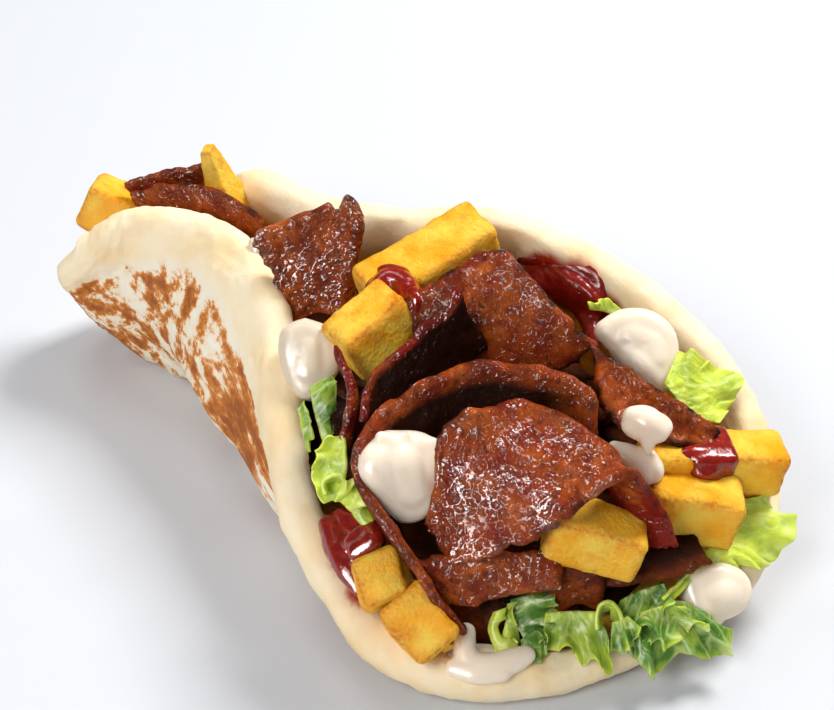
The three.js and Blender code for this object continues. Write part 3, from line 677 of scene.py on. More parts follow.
# x, middle y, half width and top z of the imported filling, in millimetres, as all lengths below are
FILLING = (
    (-88, -11, 10, 28), (-78, -8, 15, 33), (-64, -7, 18, 35), (-49, -8, 20, 37), (-34, -8, 23, 38),
    (-19, -7, 28, 39), (-4, -7, 33, 38), (11, -8, 36, 35), (26, -9, 35, 30), (40, -9, 28, 24), (51, -7, 17, 16),
)
FILLING_BASE = 6.5
SHAVINGS = 64
SHAVING_THICK = 2.2
SHAVING_TEAR = 1.4  # how far a shaving's torn edge wanders
SHAVING_STEP = 1.0  # how far apart its points are
# the shaving that lies lowest at the open end: its two long lines
LOW_SHAVING = (
    ((28, -45, 8), (34, -44.5, 8), (40, -39.5, 7.5), (45, -33.5, 7.5), (50, -27.5, 7.5)),
    ((26.5, -42.5, 14.5), (32, -40.5, 14.5), (37, -35.5, 14.5), (42, -29.5, 14.5), (46, -24.5, 14.5)),
)

filling_line = spline([(x, y, 0) for x, y, _, _ in FILLING])
filling_size = spline([(width, top, 0) for _, _, width, top in FILLING])


def packed_core():
    """The rough mound that the shavings lie on, and how dark each of its vertices is painted: nearly black, as
    painted shade in the hollows between the pieces.
    """
    bm = bmesh.new()
    bmesh.ops.create_cone(
        bm, cap_ends=True, cap_tris=False, segments=96, radius1=1, radius2=1, depth=1)
    sides = [edge for edge in bm.edges if abs(edge.verts[0].co.z - edge.verts[1].co.z) > 0.5]
    bmesh.ops.subdivide_edges(bm, edges=sides, cuts=119, use_grid_fill=True)
    bmesh.ops.poke(bm, faces=[face for face in bm.faces if len(face.verts) > 4])
    points = points_of(bm)
    u = points[:, 2] + 0.5
    middle = filling_line(u)
    width, top = filling_size(u)[:, 0], filling_size(u)[:, 1]
    half = (top - FILLING_BASE) / 2
    places = middle + np.c_[0 * u, points[:, 0] * width, FILLING_BASE + half + points[:, 1] * half]
    # lumps 12 mm across in its width, and 5 mm across in its height
    lumpy = 0.86 + 0.05 * grain(places, 12, 1, 3)
    spine = middle[:, 1]
    places = np.c_[
        places[:, 0], spine + (places[:, 1] - spine) * lumpy, places[:, 2] - 1 + 0.9 * grain(places, 5, 2, 4)]
    places[:, 2] = np.maximum(places[:, 2], FILLING_BASE)
    reshape(bm, places)
    bmesh.ops.recalc_face_normals(bm, faces=bm.faces)
    return bm, np.clip(0.95 + 0.2 * grain(places, 6, 3, 2), 0, 0.98)


def scattered_sheet(draw):
    """The sheet of a small curled shaving that lies somewhere on the top of the mound."""
    along = draw.uniform(0.3, 0.93)
    across = draw.uniform(-0.6, 0.6)
    at = filling_line(np.array([along]))[0]
    wide, high = filling_size(np.array([along]))[0][:2]
    half_high = (high - FILLING_BASE) / 2
    lift = math.sqrt(1 - across ** 2)
    centre = np.array((at[0], at[1] + across * wide, FILLING_BASE + half_high * (1 + lift) - 0.6))
    heading = draw.uniform(-0.9, 0.9) + (math.pi / 2 if draw.random() < 0.3 else 0)
    long_way = np.array((math.cos(heading), math.sin(heading), 0))
    cross_way = np.array((-math.sin(heading), math.cos(heading), 0))
    slope = np.array((0, 0, -across / max(lift, 0.4) * half_high / wide))
    reach, span, curl = draw.uniform(6, 11), draw.uniform(3, 5.5), draw.uniform(0.5, 2.5)
    edge, hem = [], []
    for line, side in ((edge, -1), (hem, 1)):
        for step in (-1, -0.4, 0.3, 1):
            flat = long_way * step * reach + cross_way * side * span
            line.append(centre + flat + slope * flat[1] + np.array((0, 0, curl * (1 - step * step) - 1)))
    return sheet(edge, hem, draw.uniform(-1.2, 1.2))


class SANDWICH_OT_packed_filling(bpy.types.Operator):
    """Packs the bread with shavings of meat over a rough core"""

    bl_idname = "sandwich.packed_filling"
    bl_label = "Packed filling"

    def execute(self, context):
        settings = context.scene.sandwich_meat
        core, core_shade = packed_core()
        parts, charred = [core], [core_shade]
        draw = random.Random(7)  # the same scatter in each run
        # the core and the shavings are painted nearly black: painted shade in the hollows between the pieces, over
        # the shavings' own charred edges
        shavings = [(scattered_sheet(draw), 20 + index, 0.85) for index in range(SHAVINGS)]
        for surface, seed, cavity_shade in (*shavings, (sheet(*LOW_SHAVING), 9, 0.7)):
            part, char, _, _ = carve(surface, SHAVING_THICK, SHAVING_TEAR, seed, step=SHAVING_STEP)
            parts.append(part)
            charred.append(np.clip(char + cavity_shade, 0, 0.97))
        bm = join(parts)
        char = np.concatenate(charred)
        paint(bm, "charred", char)
        paint(bm, "chilli", np.full(len(char), 0.35))
        paint(bm, "glazed", np.full(len(char), 0.05))
        serve("packed_meat", bm, roasted_meat(settings), "meat", "packed_filling")
        return {"FINISHED"}


# ---------------------------------------------------------------- fries

# Each fry, in millimetres: its two ends, its width and height where they aren't the plain side, its turn about its
# own length in degrees, and the share of its thickness that is left at its end.
FRIES = {
    "back_end": dict(start=(-82, -5, 28), end=(-104, -15, 38), roll=15),
    "spike": dict(start=(-70.3, 2.2, 30.3), end=(-77.5, -0.6, 55.3), width=14, height=11, tip=0.25),
    "on_wall": dict(start=(-21, -10, 46), end=(-12, 18, 54), roll=8, width=13),
    "short": dict(start=(-15, -26, 45), end=(-11, -11, 51), roll=-10),
    "right": dict(start=(44, -2, 33), end=(64, 21, 27), width=11, height=12),
    "right_middle": dict(start=(49, -6.5, 28.7), end=(63.5, 5.8, 24.1), height=13),
    "front": dict(start=(41, -29, 33), end=(56.5, -18, 28.5), width=11),
    "left_upper": dict(start=(16, -52.8, 27.2), end=(24, -55.8, 21.7), roll=15, width=10, height=11),
    "left_lower": dict(start=(23.6, -53, 21.8), end=(35, -52.6, 14.3), roll=37, width=11.5),
}


class FrySettings(bpy.types.PropertyGroup):
    """Sizes and colours of the fries."""

    side: bpy.props.FloatProperty(
        name="Side", description="Side of a fry's square section", default=12 * MM, unit="LENGTH")
    corner: bpy.props.FloatProperty(
        name="Corner radius", description="Radius of a fry's worn corners", default=1.9 * MM, unit="LENGTH")
    flesh: bpy.props.FloatVectorProperty(
        name="Fry", description="Colour of the golden faces", subtype="COLOR", size=4, default=linear("#ffb010"))
    pale: bpy.props.FloatVectorProperty(
        name="Pale fry", description="Colour of the palest parts", subtype="COLOR", size=4,
        default=linear("#ffd24a"))
    crisp: bpy.props.FloatVectorProperty(
        name="Crisp edge", description="Colour of the crisp edges and ends", subtype="COLOR", size=4,
        default=linear("#d0790f"))


def fried_potato(settings):
    """Potato fried twice in oil: a golden, finely blistered skin, browner along its edges, with an oily sheen."""
    material, tree, place = new_material("fried_potato")
    crisp = add_node(tree, "ShaderNodeAttribute", attribute_name="crisped").outputs["Fac"]
    drift = add_node(tree, "ShaderNodeTexNoise", {
        "Vector": place, "Scale": 1 / 7, "Detail": 4.0, "Roughness": 0.6}).outputs[0]
    paler = add_node(tree, "ShaderNodeValToRGB", {0: drift}, stops=(
        (0.38, grey(0)), (0.62, grey(1)))).outputs[0]
    golden = add_node(tree, "ShaderNodeMix", {
        0: paler, 6: settings.flesh, 7: settings.pale}, data_type="RGBA").outputs[2]
    # blisters 0.9 mm across, brown on the crisp edges
    blisters = add_node(tree, "ShaderNodeTexNoise", {
        "Vector": place, "Scale": 1 / 0.9, "Detail": 5.0, "Roughness": 0.62}).outputs[0]
    raised = add_node(tree, "ShaderNodeMapRange", {0: blisters, 1: 0.35, 2: 0.62, 3: 0.3, 4: 1.4}).outputs[0]
    toasted = add_node(tree, "ShaderNodeMath", {
        0: crisp, 1: raised}, operation="MULTIPLY", use_clamp=True).outputs[0]
    skin = add_node(tree, "ShaderNodeMix", {
        0: toasted, 6: golden, 7: settings.crisp}, data_type="RGBA").outputs[2]
    fine = add_node(tree, "ShaderNodeBump", {
        "Height": blisters, "Strength": 1.0, "Distance": 0.75 * MM})
    shader = add_node(tree, "ShaderNodeBsdfPrincipled", {
        "Base Color": skin, "Normal": fine.outputs[0], "Roughness": 0.5, "IOR": 1.45,
        "Specular IOR Level": 0.15, "Subsurface Weight": 0.35, "Subsurface Radius": (1.0, 0.6, 0.12),
        "Subsurface Scale": 3 * MM})
    add_node(tree, "ShaderNodeOutputMaterial", {"Surface": shader.outputs[0]})
    return material


def fry_axes(start, end, roll):
    """A fry's start, length, and its forward, side and top directions."""
    start = np.array(start, float)
    forward = np.array(end, float) - start
    length = np.linalg.norm(forward)
    forward /= length
    side = unit(np.cross((0, 0, 1), forward))
    top = np.cross(forward, side)
    turn = math.radians(roll)
    side, top = side * math.cos(turn) + top * math.sin(turn), top * math.cos(turn) - side * math.sin(turn)
    return start, length, forward, side, top


def fry_sizes(name, side):
    """The sizes of a fry, with the plain side where it has no width or height of its own."""
    return {"width": side, "height": side, **FRIES[name]}


def fry_bar(start, end, width, height, roll=0, tip=0.94, corner=1.5, seed=1, grow=0.0, span=(0, 1)):
    """A soft square bar between two points, thinner towards its end, with worn corners, or a span of it, grown by
    a coat of sauce. Gives how crisp each vertex is too.
    """
    start, length, forward, side, top = fry_axes(start, end, roll)
    reach = length * (span[1] - span[0])
    bm = bmesh.new()
    bmesh.ops.create_cube(bm, size=1)

    def is_long(edge):
        return abs(edge.verts[0].co.x - edge.verts[1].co.x) > 0.5

    bmesh.ops.subdivide_edges(
        bm, edges=[edge for edge in bm.edges if not is_long(edge)], cuts=13, use_grid_fill=True)
    bmesh.ops.subdivide_edges(
        bm, edges=[edge for edge in bm.edges if is_long(edge)], cuts=max(10, round(reach / 0.9)),
        use_grid_fill=True)
    points = points_of(bm)
    half = np.array((reach, width, height)) / 2 + (0, grow, grow)
    box = points * 2 * half
    inner = np.clip(box, corner - half, half - corner)
    rounded = inner + unit(box - inner + 1e-9 * points) * corner
    u = np.clip(rounded[:, 0] / (2 * half[0]) + 0.5, 0, 1)
    along = span[0] + u * (span[1] - span[0])
    thin = 1 + (tip - 1) * along
    bend = 0.5 * np.sin(along * 3 + seed) * np.array((0, 1, 0.6))[:, None]
    local = np.c_[
        rounded[:, 0] + half[0] + span[0] * length, rounded[:, 1] * thin + bend[1],
        rounded[:, 2] * thin + bend[2]]
    # its faces sink in a little, under lumps 6 mm and 1.8 mm across
    hollow = -0.35 * np.cos(np.pi * points[:, 1:]).prod(axis=1)
    lumps = 0.45 * grain(local, 6, seed, 3) + 0.16 * grain(local, 1.8, seed + 0.3, 3) + hollow
    local = local + unit(rounded * (0.3, 1, 1)) * lumps[:, None]
    places = start + local[:, :1] * forward + local[:, 1:2] * side + local[:, 2:] * top
    reshape(bm, places)
    bmesh.ops.recalc_face_normals(bm, faces=bm.faces)
    # crisp along its edges, to about 1.2 mm from them, and in patches
    near = np.sort(half - np.abs(box), axis=1)
    crisp = 0.75 * np.exp(-near[:, 1] / 1.2) + 0.35 * smooth(grain(local, 5, seed + 4, 3), 0.1, 0.7)
    return bm, np.clip(crisp * (0.8 + 0.5 * grain(local, 4, seed + 5, 2)), 0, 1)


class SANDWICH_OT_fries(bpy.types.Operator):
    """Makes the chunky fries"""

    bl_idname = "sandwich.fries"
    bl_label = "Fries"

    def execute(self, context):
        settings = context.scene.sandwich_fries
        finish = fried_potato(settings)
        for seed, name in enumerate(FRIES, start=1):
            bm, crisp = fry_bar(**fry_sizes(name, settings.side / MM), corner=settings.corner / MM, seed=seed)
            paint(bm, "crisped", crisp)
            serve(f"potato_fry_{name}", bm, finish, "fry", f"fry_{name}")
        return {"FINISHED"}


# ---------------------------------------------------------------- lettuce

# Each leaf is made of blades, in millimetres: edge is the line that a blade grows from, hem its frilled end, frill
# the ruffle's waves and height, bow how far it rounds out between its lines, and pale how young it is.
LEAVES = {
    "front_left": (
        dict(edge=((39.3, -37.3, 18), (41.4, -38.5, 14), (44.8, -38.9, 11)),
             hem=((44.6, -30.8, 20), (47.1, -31.8, 16.5), (47.7, -34.7, 13), (48.1, -38.3, 11)),
             frill=(2.2, 1.6), pale=-0.25),
        dict(edge=((39.1, -37.7, 17), (40.3, -40.0, 14.5), (41.1, -42.5, 12)),
             hem=((40.5, -37.0, 18.5), (42.6, -39.1, 14.5), (44.8, -41.2, 12), (45.5, -45.5, 9.5)),
             frill=(1.6, 1.2), pale=0.55),
        dict(edge=((38.0, -40.8, 16.5), (38.9, -43.3, 14), (42.0, -44.7, 11), (45.5, -45.8, 9.5)),
             hem=((39.0, -39.2, 17), (39.8, -41.0, 15), (43.6, -41.7, 12.5), (46.1, -42.8, 10)),
             bow=1.2, frill=(1.5, 1.0), pale=0.8),
        dict(edge=((44.4, -40.4, 12.5), (45.6, -37.1, 13.5), (48.3, -36.4, 12.5)),
             hem=((46.8, -42.1, 10.5), (49.8, -40.5, 9.5), (48.9, -38.1, 12)),
             frill=(1.5, 0.8), pale=-0.35),
    ),
    "front_middle": (
        dict(edge=((46.2, -34.9, 17), (49.9, -31.0, 17), (54.3, -27.7, 17)),
             hem=((47.6, -37.7, 12.5), (50.9, -37.1, 11.5), (54.1, -35.2, 11), (57.7, -34.4, 10),
                  (60.9, -33.6, 9), (58.7, -29.2, 12)),
             bow=1.2, frill=(2.6, 2.0), pale=0.35),
        dict(edge=((55.7, -30.4, 15), (54.0, -28.9, 17.5), (54.5, -27.1, 19.5), (56.5, -25.9, 19),
                   (58.4, -26.0, 17), (59.0, -27.9, 15)),
             hem=((55.5, -27.8, 11.5), (54.1, -26.1, 13.5), (54.4, -25.2, 15), (55.5, -24.7, 15),
                  (56.4, -24.9, 13.5), (56.9, -26.3, 11.5)),
             frill=(1.2, 0.5), pale=0.5),
    ),
    "front_right": (
        dict(edge=((55.5, -22.6, 17), (57.4, -18.6, 18), (60.5, -14.8, 19)),
             hem=((57.5, -27.0, 14), (61.2, -25.4, 13.5), (64.0, -21.4, 14.5), (64.9, -16.8, 17)),
             bow=1, frill=(1.8, 1.5), pale=-0.2),
        dict(edge=((56.5, -24.4, 14), (59.9, -19.1, 15.5), (63.5, -14.6, 16), (67.2, -12.6, 14)),
             hem=((57.6, -29.4, 12), (63.3, -27.2, 9), (67.3, -25.9, 6), (69.8, -17.8, 8.5),
                  (73.8, -15.6, 6.5), (75.3, -12.2, 7), (70.4, -9.8, 11)),
             bow=-1, frill=(3.2, 1.8), pale=-0.05),
        dict(edge=((59.9, -21.8, 16), (62.8, -18.5, 17), (66.0, -14.7, 16)),
             hem=((62.2, -27.4, 12.5), (64.3, -24.3, 13), (67.5, -23.9, 11.5), (68.7, -17.6, 14),
                  (71.9, -15.2, 12.5), (69.5, -12.6, 14.5)),
             bow=1, frill=(2.4, 1.6), pale=0.05),
        dict(edge=((57.2, -27.6, 16), (58.9, -24.6, 16.5)),
             hem=((59.4, -31.2, 12.5), (62.5, -29.2, 12.5), (61.9, -24.5, 15)),
             frill=(1.6, 1.4), pale=0.15),
    ),
    "right": (
        dict(edge=((62.6, -17.8, 18), (62.8, -10.4, 19), (62.7, -2.6, 20)),
             hem=((63.4, -16.3, 16.5), (63.8, -9.1, 17.5), (63.7, -1.7, 18.5)),
             bow=1.2, frill=(1, 0.1), pale=1.0),
        dict(edge=((62.4, -4.9, 19), (61.6, 4.2, 20), (61.3, 9.9, 24)),
             hem=((65.1, -4.0, 16), (67.4, 0.9, 16), (69.9, 5.5, 14), (72.5, 9.3, 14.5), (71.6, 16.4, 17),
                  (69.0, 18.5, 19), (63.9, 15.8, 23)),
             bow=-1, frill=(2.6, 1.6), pale=0.75),
    ),
    "back_right": (
        dict(edge=((38.6, 14.1, 40), (42.9, 14.0, 37), (46.7, 15.1, 34)),
             hem=((35.8, 22.5, 43), (41.5, 25.0, 41), (47.9, 29.3, 37), (49.8, 24.4, 35), (50.1, 17.8, 33)),
             frill=(2.4, 1.4), pale=0.75),
    ),
    "left": (
        dict(edge=((-13.4, -37.2, 44), (-9.3, -39.8, 40), (-4.5, -42.5, 36)),
             hem=((-11.9, -30.9, 45), (-8.3, -34.7, 42), (-6.5, -38.5, 38)),
             bow=1, frill=(1, 0.4), pale=0.1),
        dict(edge=((-13.3, -40.7, 41), (-10.4, -42.6, 38), (-7.5, -44.4, 35)),
             hem=((-11.7, -39.9, 43), (-8.6, -42.0, 40), (-6.0, -45.3, 37)),
             frill=(1.2, 0.5), pale=0.25),
    ),
    "left_curl": (
        dict(edge=((0.7, -42.3, 44), (3.5, -44.8, 41), (5.4, -47.6, 38), (6.2, -51.0, 35)),
             hem=((0.2, -44.7, 43), (-1.4, -49.3, 41), (1.2, -52.0, 37), (4.7, -52.0, 34)),
             bow=1.5, frill=(1.6, 0.9), pale=0.75),
        dict(edge=((5.1, -52.8, 37), (3.6, -52.0, 39), (4.4, -50.4, 40.5), (6.1, -49.1, 40), (7.5, -49.6, 38),
                   (7.1, -51.6, 36.5)),
             hem=((3.2, -49.7, 33), (2.1, -49.0, 34.5), (2.6, -48.1, 35.5), (3.5, -47.3, 35), (4.5, -47.8, 34),
                  (4.5, -49.4, 33)),
             frill=(1.2, 0.3), pale=0.8),
        dict(edge=((7.2, -52.9, 37), (8.9, -51.3, 35.5), (11.3, -50.6, 33)),
             hem=((7.6, -51.4, 41), (9.4, -48.8, 41), (12.2, -48.2, 38), (13.4, -49.3, 35), (17.5, -50.0, 31)),
             bow=0.8, frill=(2.2, 1.3), pale=0.8),
    ),
    "shred": (
        dict(edge=((13.9, 21.9, 42), (15.2, 25.4, 40), (19.5, 27.7, 38)),
             hem=((13.3, 21.7, 44), (14.4, 24.7, 43), (14.8, 27.6, 42), (21.5, 27.8, 38.5)),
             frill=(2, 0.5), pale=0.6),
    ),
}
BLADE_SHIFT = 40  # how far apart the blades of a leaf lie in the pattern of its veins, in millimetres


class LettuceSettings(bpy.types.PropertyGroup):
    """Sizes and colours of the lettuce."""

    thick: bpy.props.FloatProperty(
        name="Leaf thickness", description="Thickness of a leaf", default=0.8 * MM, unit="LENGTH")
    green: bpy.props.FloatVectorProperty(
        name="Green", description="Colour of the leaf", subtype="COLOR", size=4, default=linear("#4d7d22"))
    fresh: bpy.props.FloatVectorProperty(
        name="Fresh green", description="Colour of the young, thin parts", subtype="COLOR", size=4,
        default=linear("#cfe04a"))
    rib: bpy.props.FloatVectorProperty(
        name="Rib", description="Colour of ribs and veins", subtype="COLOR", size=4, default=linear("#dbe59a"))


def frilled_lettuce(settings):
    """Frilly salad lettuce: a thin, waxy leaf that lets light through, pale at its veins and young edges."""
    material, tree, place = new_material("frilled_lettuce")
    leaf = add_node(tree, "ShaderNodeAttribute", attribute_name="on_leaf").outputs["Vector"]
    young = add_node(tree, "ShaderNodeAttribute", attribute_name="young").outputs["Fac"]
    # green in patches 5 mm across, which lean to the pale side where the leaf is young
    drift = add_node(tree, "ShaderNodeTexNoise", {"Vector": place, "Scale": 1 / 5, "Detail": 3.0}).outputs[0]
    patchy = add_node(tree, "ShaderNodeMapRange", {0: drift, 1: 0.3, 2: 0.7, 3: -0.35, 4: 0.35}).outputs[0]
    paler = add_node(tree, "ShaderNodeMath", {
        0: patchy, 1: young}, operation="ADD", use_clamp=True).outputs[0]
    blade_green = add_node(tree, "ShaderNodeMix", {
        0: paler, 6: settings.green, 7: settings.fresh}, data_type="RGBA").outputs[2]
    # ribs about 5 mm apart that run up the leaf, and a faint net of veins between them
    bent = add_node(tree, "ShaderNodeTexNoise", {
        "Vector": leaf, "Scale": 1 / 6, "Detail": 2.0}).outputs["Color"]
    shift = add_node(tree, "ShaderNodeVectorMath", {
        0: bent, 1: (5.0, 5.0, 0.0)}, operation="MULTIPLY").outputs[0]
    swayed = add_node(tree, "ShaderNodeVectorMath", {0: leaf, 1: shift}, operation="ADD").outputs[0]
    long_net = add_node(tree, "ShaderNodeMapping", {"Vector": swayed, "Scale": (1.0, 0.3, 1.0)}).outputs[0]
    ribs = add_node(tree, "ShaderNodeTexVoronoi", {
        "Vector": long_net, "Scale": 1 / 4.5, "Randomness": 1.0}, feature="DISTANCE_TO_EDGE").outputs["Distance"]
    net = add_node(tree, "ShaderNodeTexVoronoi", {
        "Vector": swayed, "Scale": 1 / 1.9, "Randomness": 1.0}, feature="DISTANCE_TO_EDGE").outputs["Distance"]
    ribbed = add_node(tree, "ShaderNodeMapRange", {0: ribs, 2: 0.06, 3: 0.5, 4: 0.0}).outputs[0]
    netted = add_node(tree, "ShaderNodeMapRange", {0: net, 2: 0.12, 3: 0.16, 4: 0.0}).outputs[0]
    vein = add_node(tree, "ShaderNodeMath", {0: ribbed, 1: netted}, operation="MAXIMUM").outputs[0]
    veined = add_node(tree, "ShaderNodeMix", {
        0: vein, 6: blade_green, 7: settings.rib}, data_type="RGBA").outputs[2]
    bump = add_node(tree, "ShaderNodeBump", {"Height": net, "Strength": 0.4, "Distance": 0.6 * MM})
    shader = add_node(tree, "ShaderNodeBsdfPrincipled", {
        "Base Color": veined, "Normal": bump.outputs[0], "Roughness": 0.42, "IOR": 1.4, "Specular IOR Level": 0.3,
        "Subsurface Weight": 0.35, "Subsurface Radius": (0.7, 1.0, 0.25), "Subsurface Scale": 2 * MM})
    add_node(tree, "ShaderNodeOutputMaterial", {"Surface": shader.outputs[0]})
    return material


def blade(edge, hem, frill, seed, thick, bow=0.0):
    """A blade of leaf, with folds that grow towards its ruffled hem. Gives each vertex's place along and across,
    in millimetres, and its share of the way to the hem too.
    """
    surface = sheet(edge, hem, bow)
    along, across = spans(surface)
    waves, height = frill
    bm = slab(max(12, round(along / 0.25)), max(8, round(across / 0.45)), layers=1)
    u, v, w = points_of(bm).T
    line = np.c_[u * along, 0 * u, 0 * u]
    flat = np.c_[u * along, v * across, 0 * u]
    grow, ruffle = smooth(v, 0.15, 1.15), smooth(v, 0.55, 1.0)
    phase = math.tau * waves * u + 2.6 * grain(line, 7, seed, 2)
    fine = 2.3 * phase + 3 * grain(line, 4, seed + 1, 2)
    # each fold leans over its neighbours, so that the hem runs in loops
    slip = -0.4 * along / (math.tau * waves) * grow * np.sin(2 * phase)
    jag = 0.03 * grain(line, 2.4, seed + 2, 3) * ruffle
    v2 = v * (1 + jag) + 0.16 * height / across * ruffle * np.cos(fine)
    u2 = u + slip / along
    middle = surface(u2, v2)
    normal = sheet_normal(surface, u2, v2)
    fold = height * grow * np.sin(phase) + 0.5 * height * ruffle * np.sin(fine)
    crumple = 0.35 * grain(flat, 3.0, seed + 3, 3)
    places = middle + normal * (fold + crumple + w * thick / 2 * (1 - 0.4 * ruffle))[:, None]
    reshape(bm, places)
    bmesh.ops.recalc_face_normals(bm, faces=bm.faces)
    return bm, flat, v


class SANDWICH_OT_lettuce(bpy.types.Operator):
    """Makes the frilled lettuce leaves"""

    bl_idname = "sandwich.lettuce"
    bl_label = "Lettuce"

    def execute(self, context):
        settings = context.scene.sandwich_lettuce
        finish = frilled_lettuce(settings)
        for seed, (name, blades) in enumerate(LEAVES.items(), start=2):
            parts, on_leaf, young = [], [], []
            for number, sizes in enumerate(blades):
                shape = {key: value for key, value in sizes.items() if key != "pale"}
                part, place, v = blade(**shape, seed=seed + 10 * number, thick=settings.thick / MM)
                parts.append(part)
                on_leaf.append(place + number * BLADE_SHIFT)
                young.append(0.1 + sizes["pale"] + 0.35 * smooth(v, 0.8, 1) + 0.2 * smooth(v, 0.3, 0))
            bm = join(parts)
            paint(bm, "on_leaf", np.concatenate(on_leaf))
            paint(bm, "young", np.clip(np.concatenate(young), 0, 1))
            serve(f"lettuce_{name}", bm, finish, "lettuce", f"leaf_{name}", levels=1)
        return {"FINISHED"}


# ---------------------------------------------------------------- sauces

# Each pool of sauce, in millimetres: its body (middle, half sizes and turn about +Z in degrees), and the runs that
# spread from it, each a line of x, y, z and radius.
WHITE_POOLS = {
    "left": (((-21.5, -28, 36.5), (5, 5, 5.5), 0), (
        ((-25.5, -28.4, 45.1, 3.2), (-24.1, -26.3, 45.9, 3), (-20.3, -24.7, 44.5, 3.2),
         (-18.6, -25.7, 42.3, 3.4), (-18.6, -28.9, 39.4, 3.4), (-19.4, -31.8, 37.3, 2.8),
         (-21.7, -31.1, 39.7, 3.4), (-24.3, -29.8, 42.9, 3.4), (-25.5, -28.4, 45.1, 3.2)),
        ((-22.5, -27.5, 42.7, 4.8), (-20.8, -29, 40.2, 5)),
        ((-24.1, -26.3, 45.7, 2.4), (-24.7, -25.7, 48.3, 0.9)))),
    "centre": (((15.5, -40, 38), (6.5, 6, 7), 30), (
        ((12, -41.9, 46.1, 3.4), (15.6, -36.5, 43.6, 3.4), (18.3, -38.8, 39.4, 3.6), (19, -40.5, 35.7, 3.6),
         (17.2, -43.2, 34.7, 3.6), (14.7, -45.4, 39.2, 3.6), (12.7, -47.1, 45.5, 3.2), (12, -41.9, 46.1, 3.4)),
        ((14, -42.1, 43.5, 5.2), (16.5, -41.2, 38.5, 5.4)),
        ((12.7, -42.1, 46.9, 2.8), (11.5, -43.6, 49.6, 1.3)),
        ((13.7, -40, 45, 3), (14, -40, 47, 1.8), (14.1, -39.8, 48.8, 0.9)),
        ((16.2, -36.3, 43.3, 2.8), (17.3, -34.8, 45.3, 1.3)))),
    "back": (((29, 22, 37), (7.5, 6, 4.5), 20), (
        ((21.4, 17.2, 43, 2.6), (23.5, 20.6, 44, 3.2), (26.9, 23.4, 44, 3.2), (30.3, 24.2, 42.3, 3.2),
         (32.6, 22.9, 39.7, 3.2), (34.2, 19.8, 37.1, 3.2), (34.7, 17.6, 36.3, 2.6), (31.5, 17.6, 38.7, 3.2),
         (26.1, 18.2, 40.3, 3.2), (21.4, 17.2, 43, 2.6)),
        ((25.4, 20.4, 41.9, 4.4), (29.2, 21.8, 40.3, 4.8), (31.8, 20, 38.9, 4)))),
    "drop": (((46.2, -3.6, 45), (5.2, 3.6, 3), 35), (
        ((43.6, -4.6, 46.4, 2.4), (46, -3.8, 46.2, 3.2), (48.4, -3.2, 44.8, 2.6)),
        ((47, -4.6, 45, 2.4), (48.2, -5.9, 43.2, 1.5), (48.8, -6.7, 41.9, 0.9)))),
    "small": (((46.5, -5, 36), (5, 3.5, 3), 45), (
        ((42, -8.2, 39.8, 1.6), (45, -6.9, 38.6, 2.4), (47.5, -5.9, 37.4, 2.4)),
        ((47.5, -5.9, 37.4, 2), (49, -6.7, 35.9, 1.8), (49.9, -7.2, 34.7, 1)),
        ((46.5, -5.6, 38.6, 2), (49.8, -5, 36.6, 1.9), (50.8, -5.6, 35, 1.2)))),
    "right": (((67, -5, 12.5), (6, 5, 4.6), 50), (
        ((63.1, -8.1, 15, 3.2), (65.1, -3.8, 15, 3.4), (68.6, -1.2, 13.5, 3.2), (70.1, -2.5, 11.5, 3.2),
         (68.6, -6.4, 11, 3.2), (66.3, -9.5, 12, 3), (63.1, -8.1, 15, 3.2)),
        ((65, -6.5, 13.8, 3.3), (68, -4, 12.6, 3.3)))),
    "front": (((40.5, -46.5, 8), (9, 4.2, 3.6), 35), (
        ((36, -47, 14.5, 2), (37.6, -49.3, 13, 2.4), (39.9, -50.5, 11.5, 2.6), (43.5, -48.7, 11.2, 2.8),
         (46, -45, 11.6, 2.6), (47.4, -42.3, 12, 2)),
        ((38.3, -53.4, 11.2, 1.9), (42.3, -51.4, 10.8, 2.3), (45.7, -48, 10.8, 2.2)))),
}
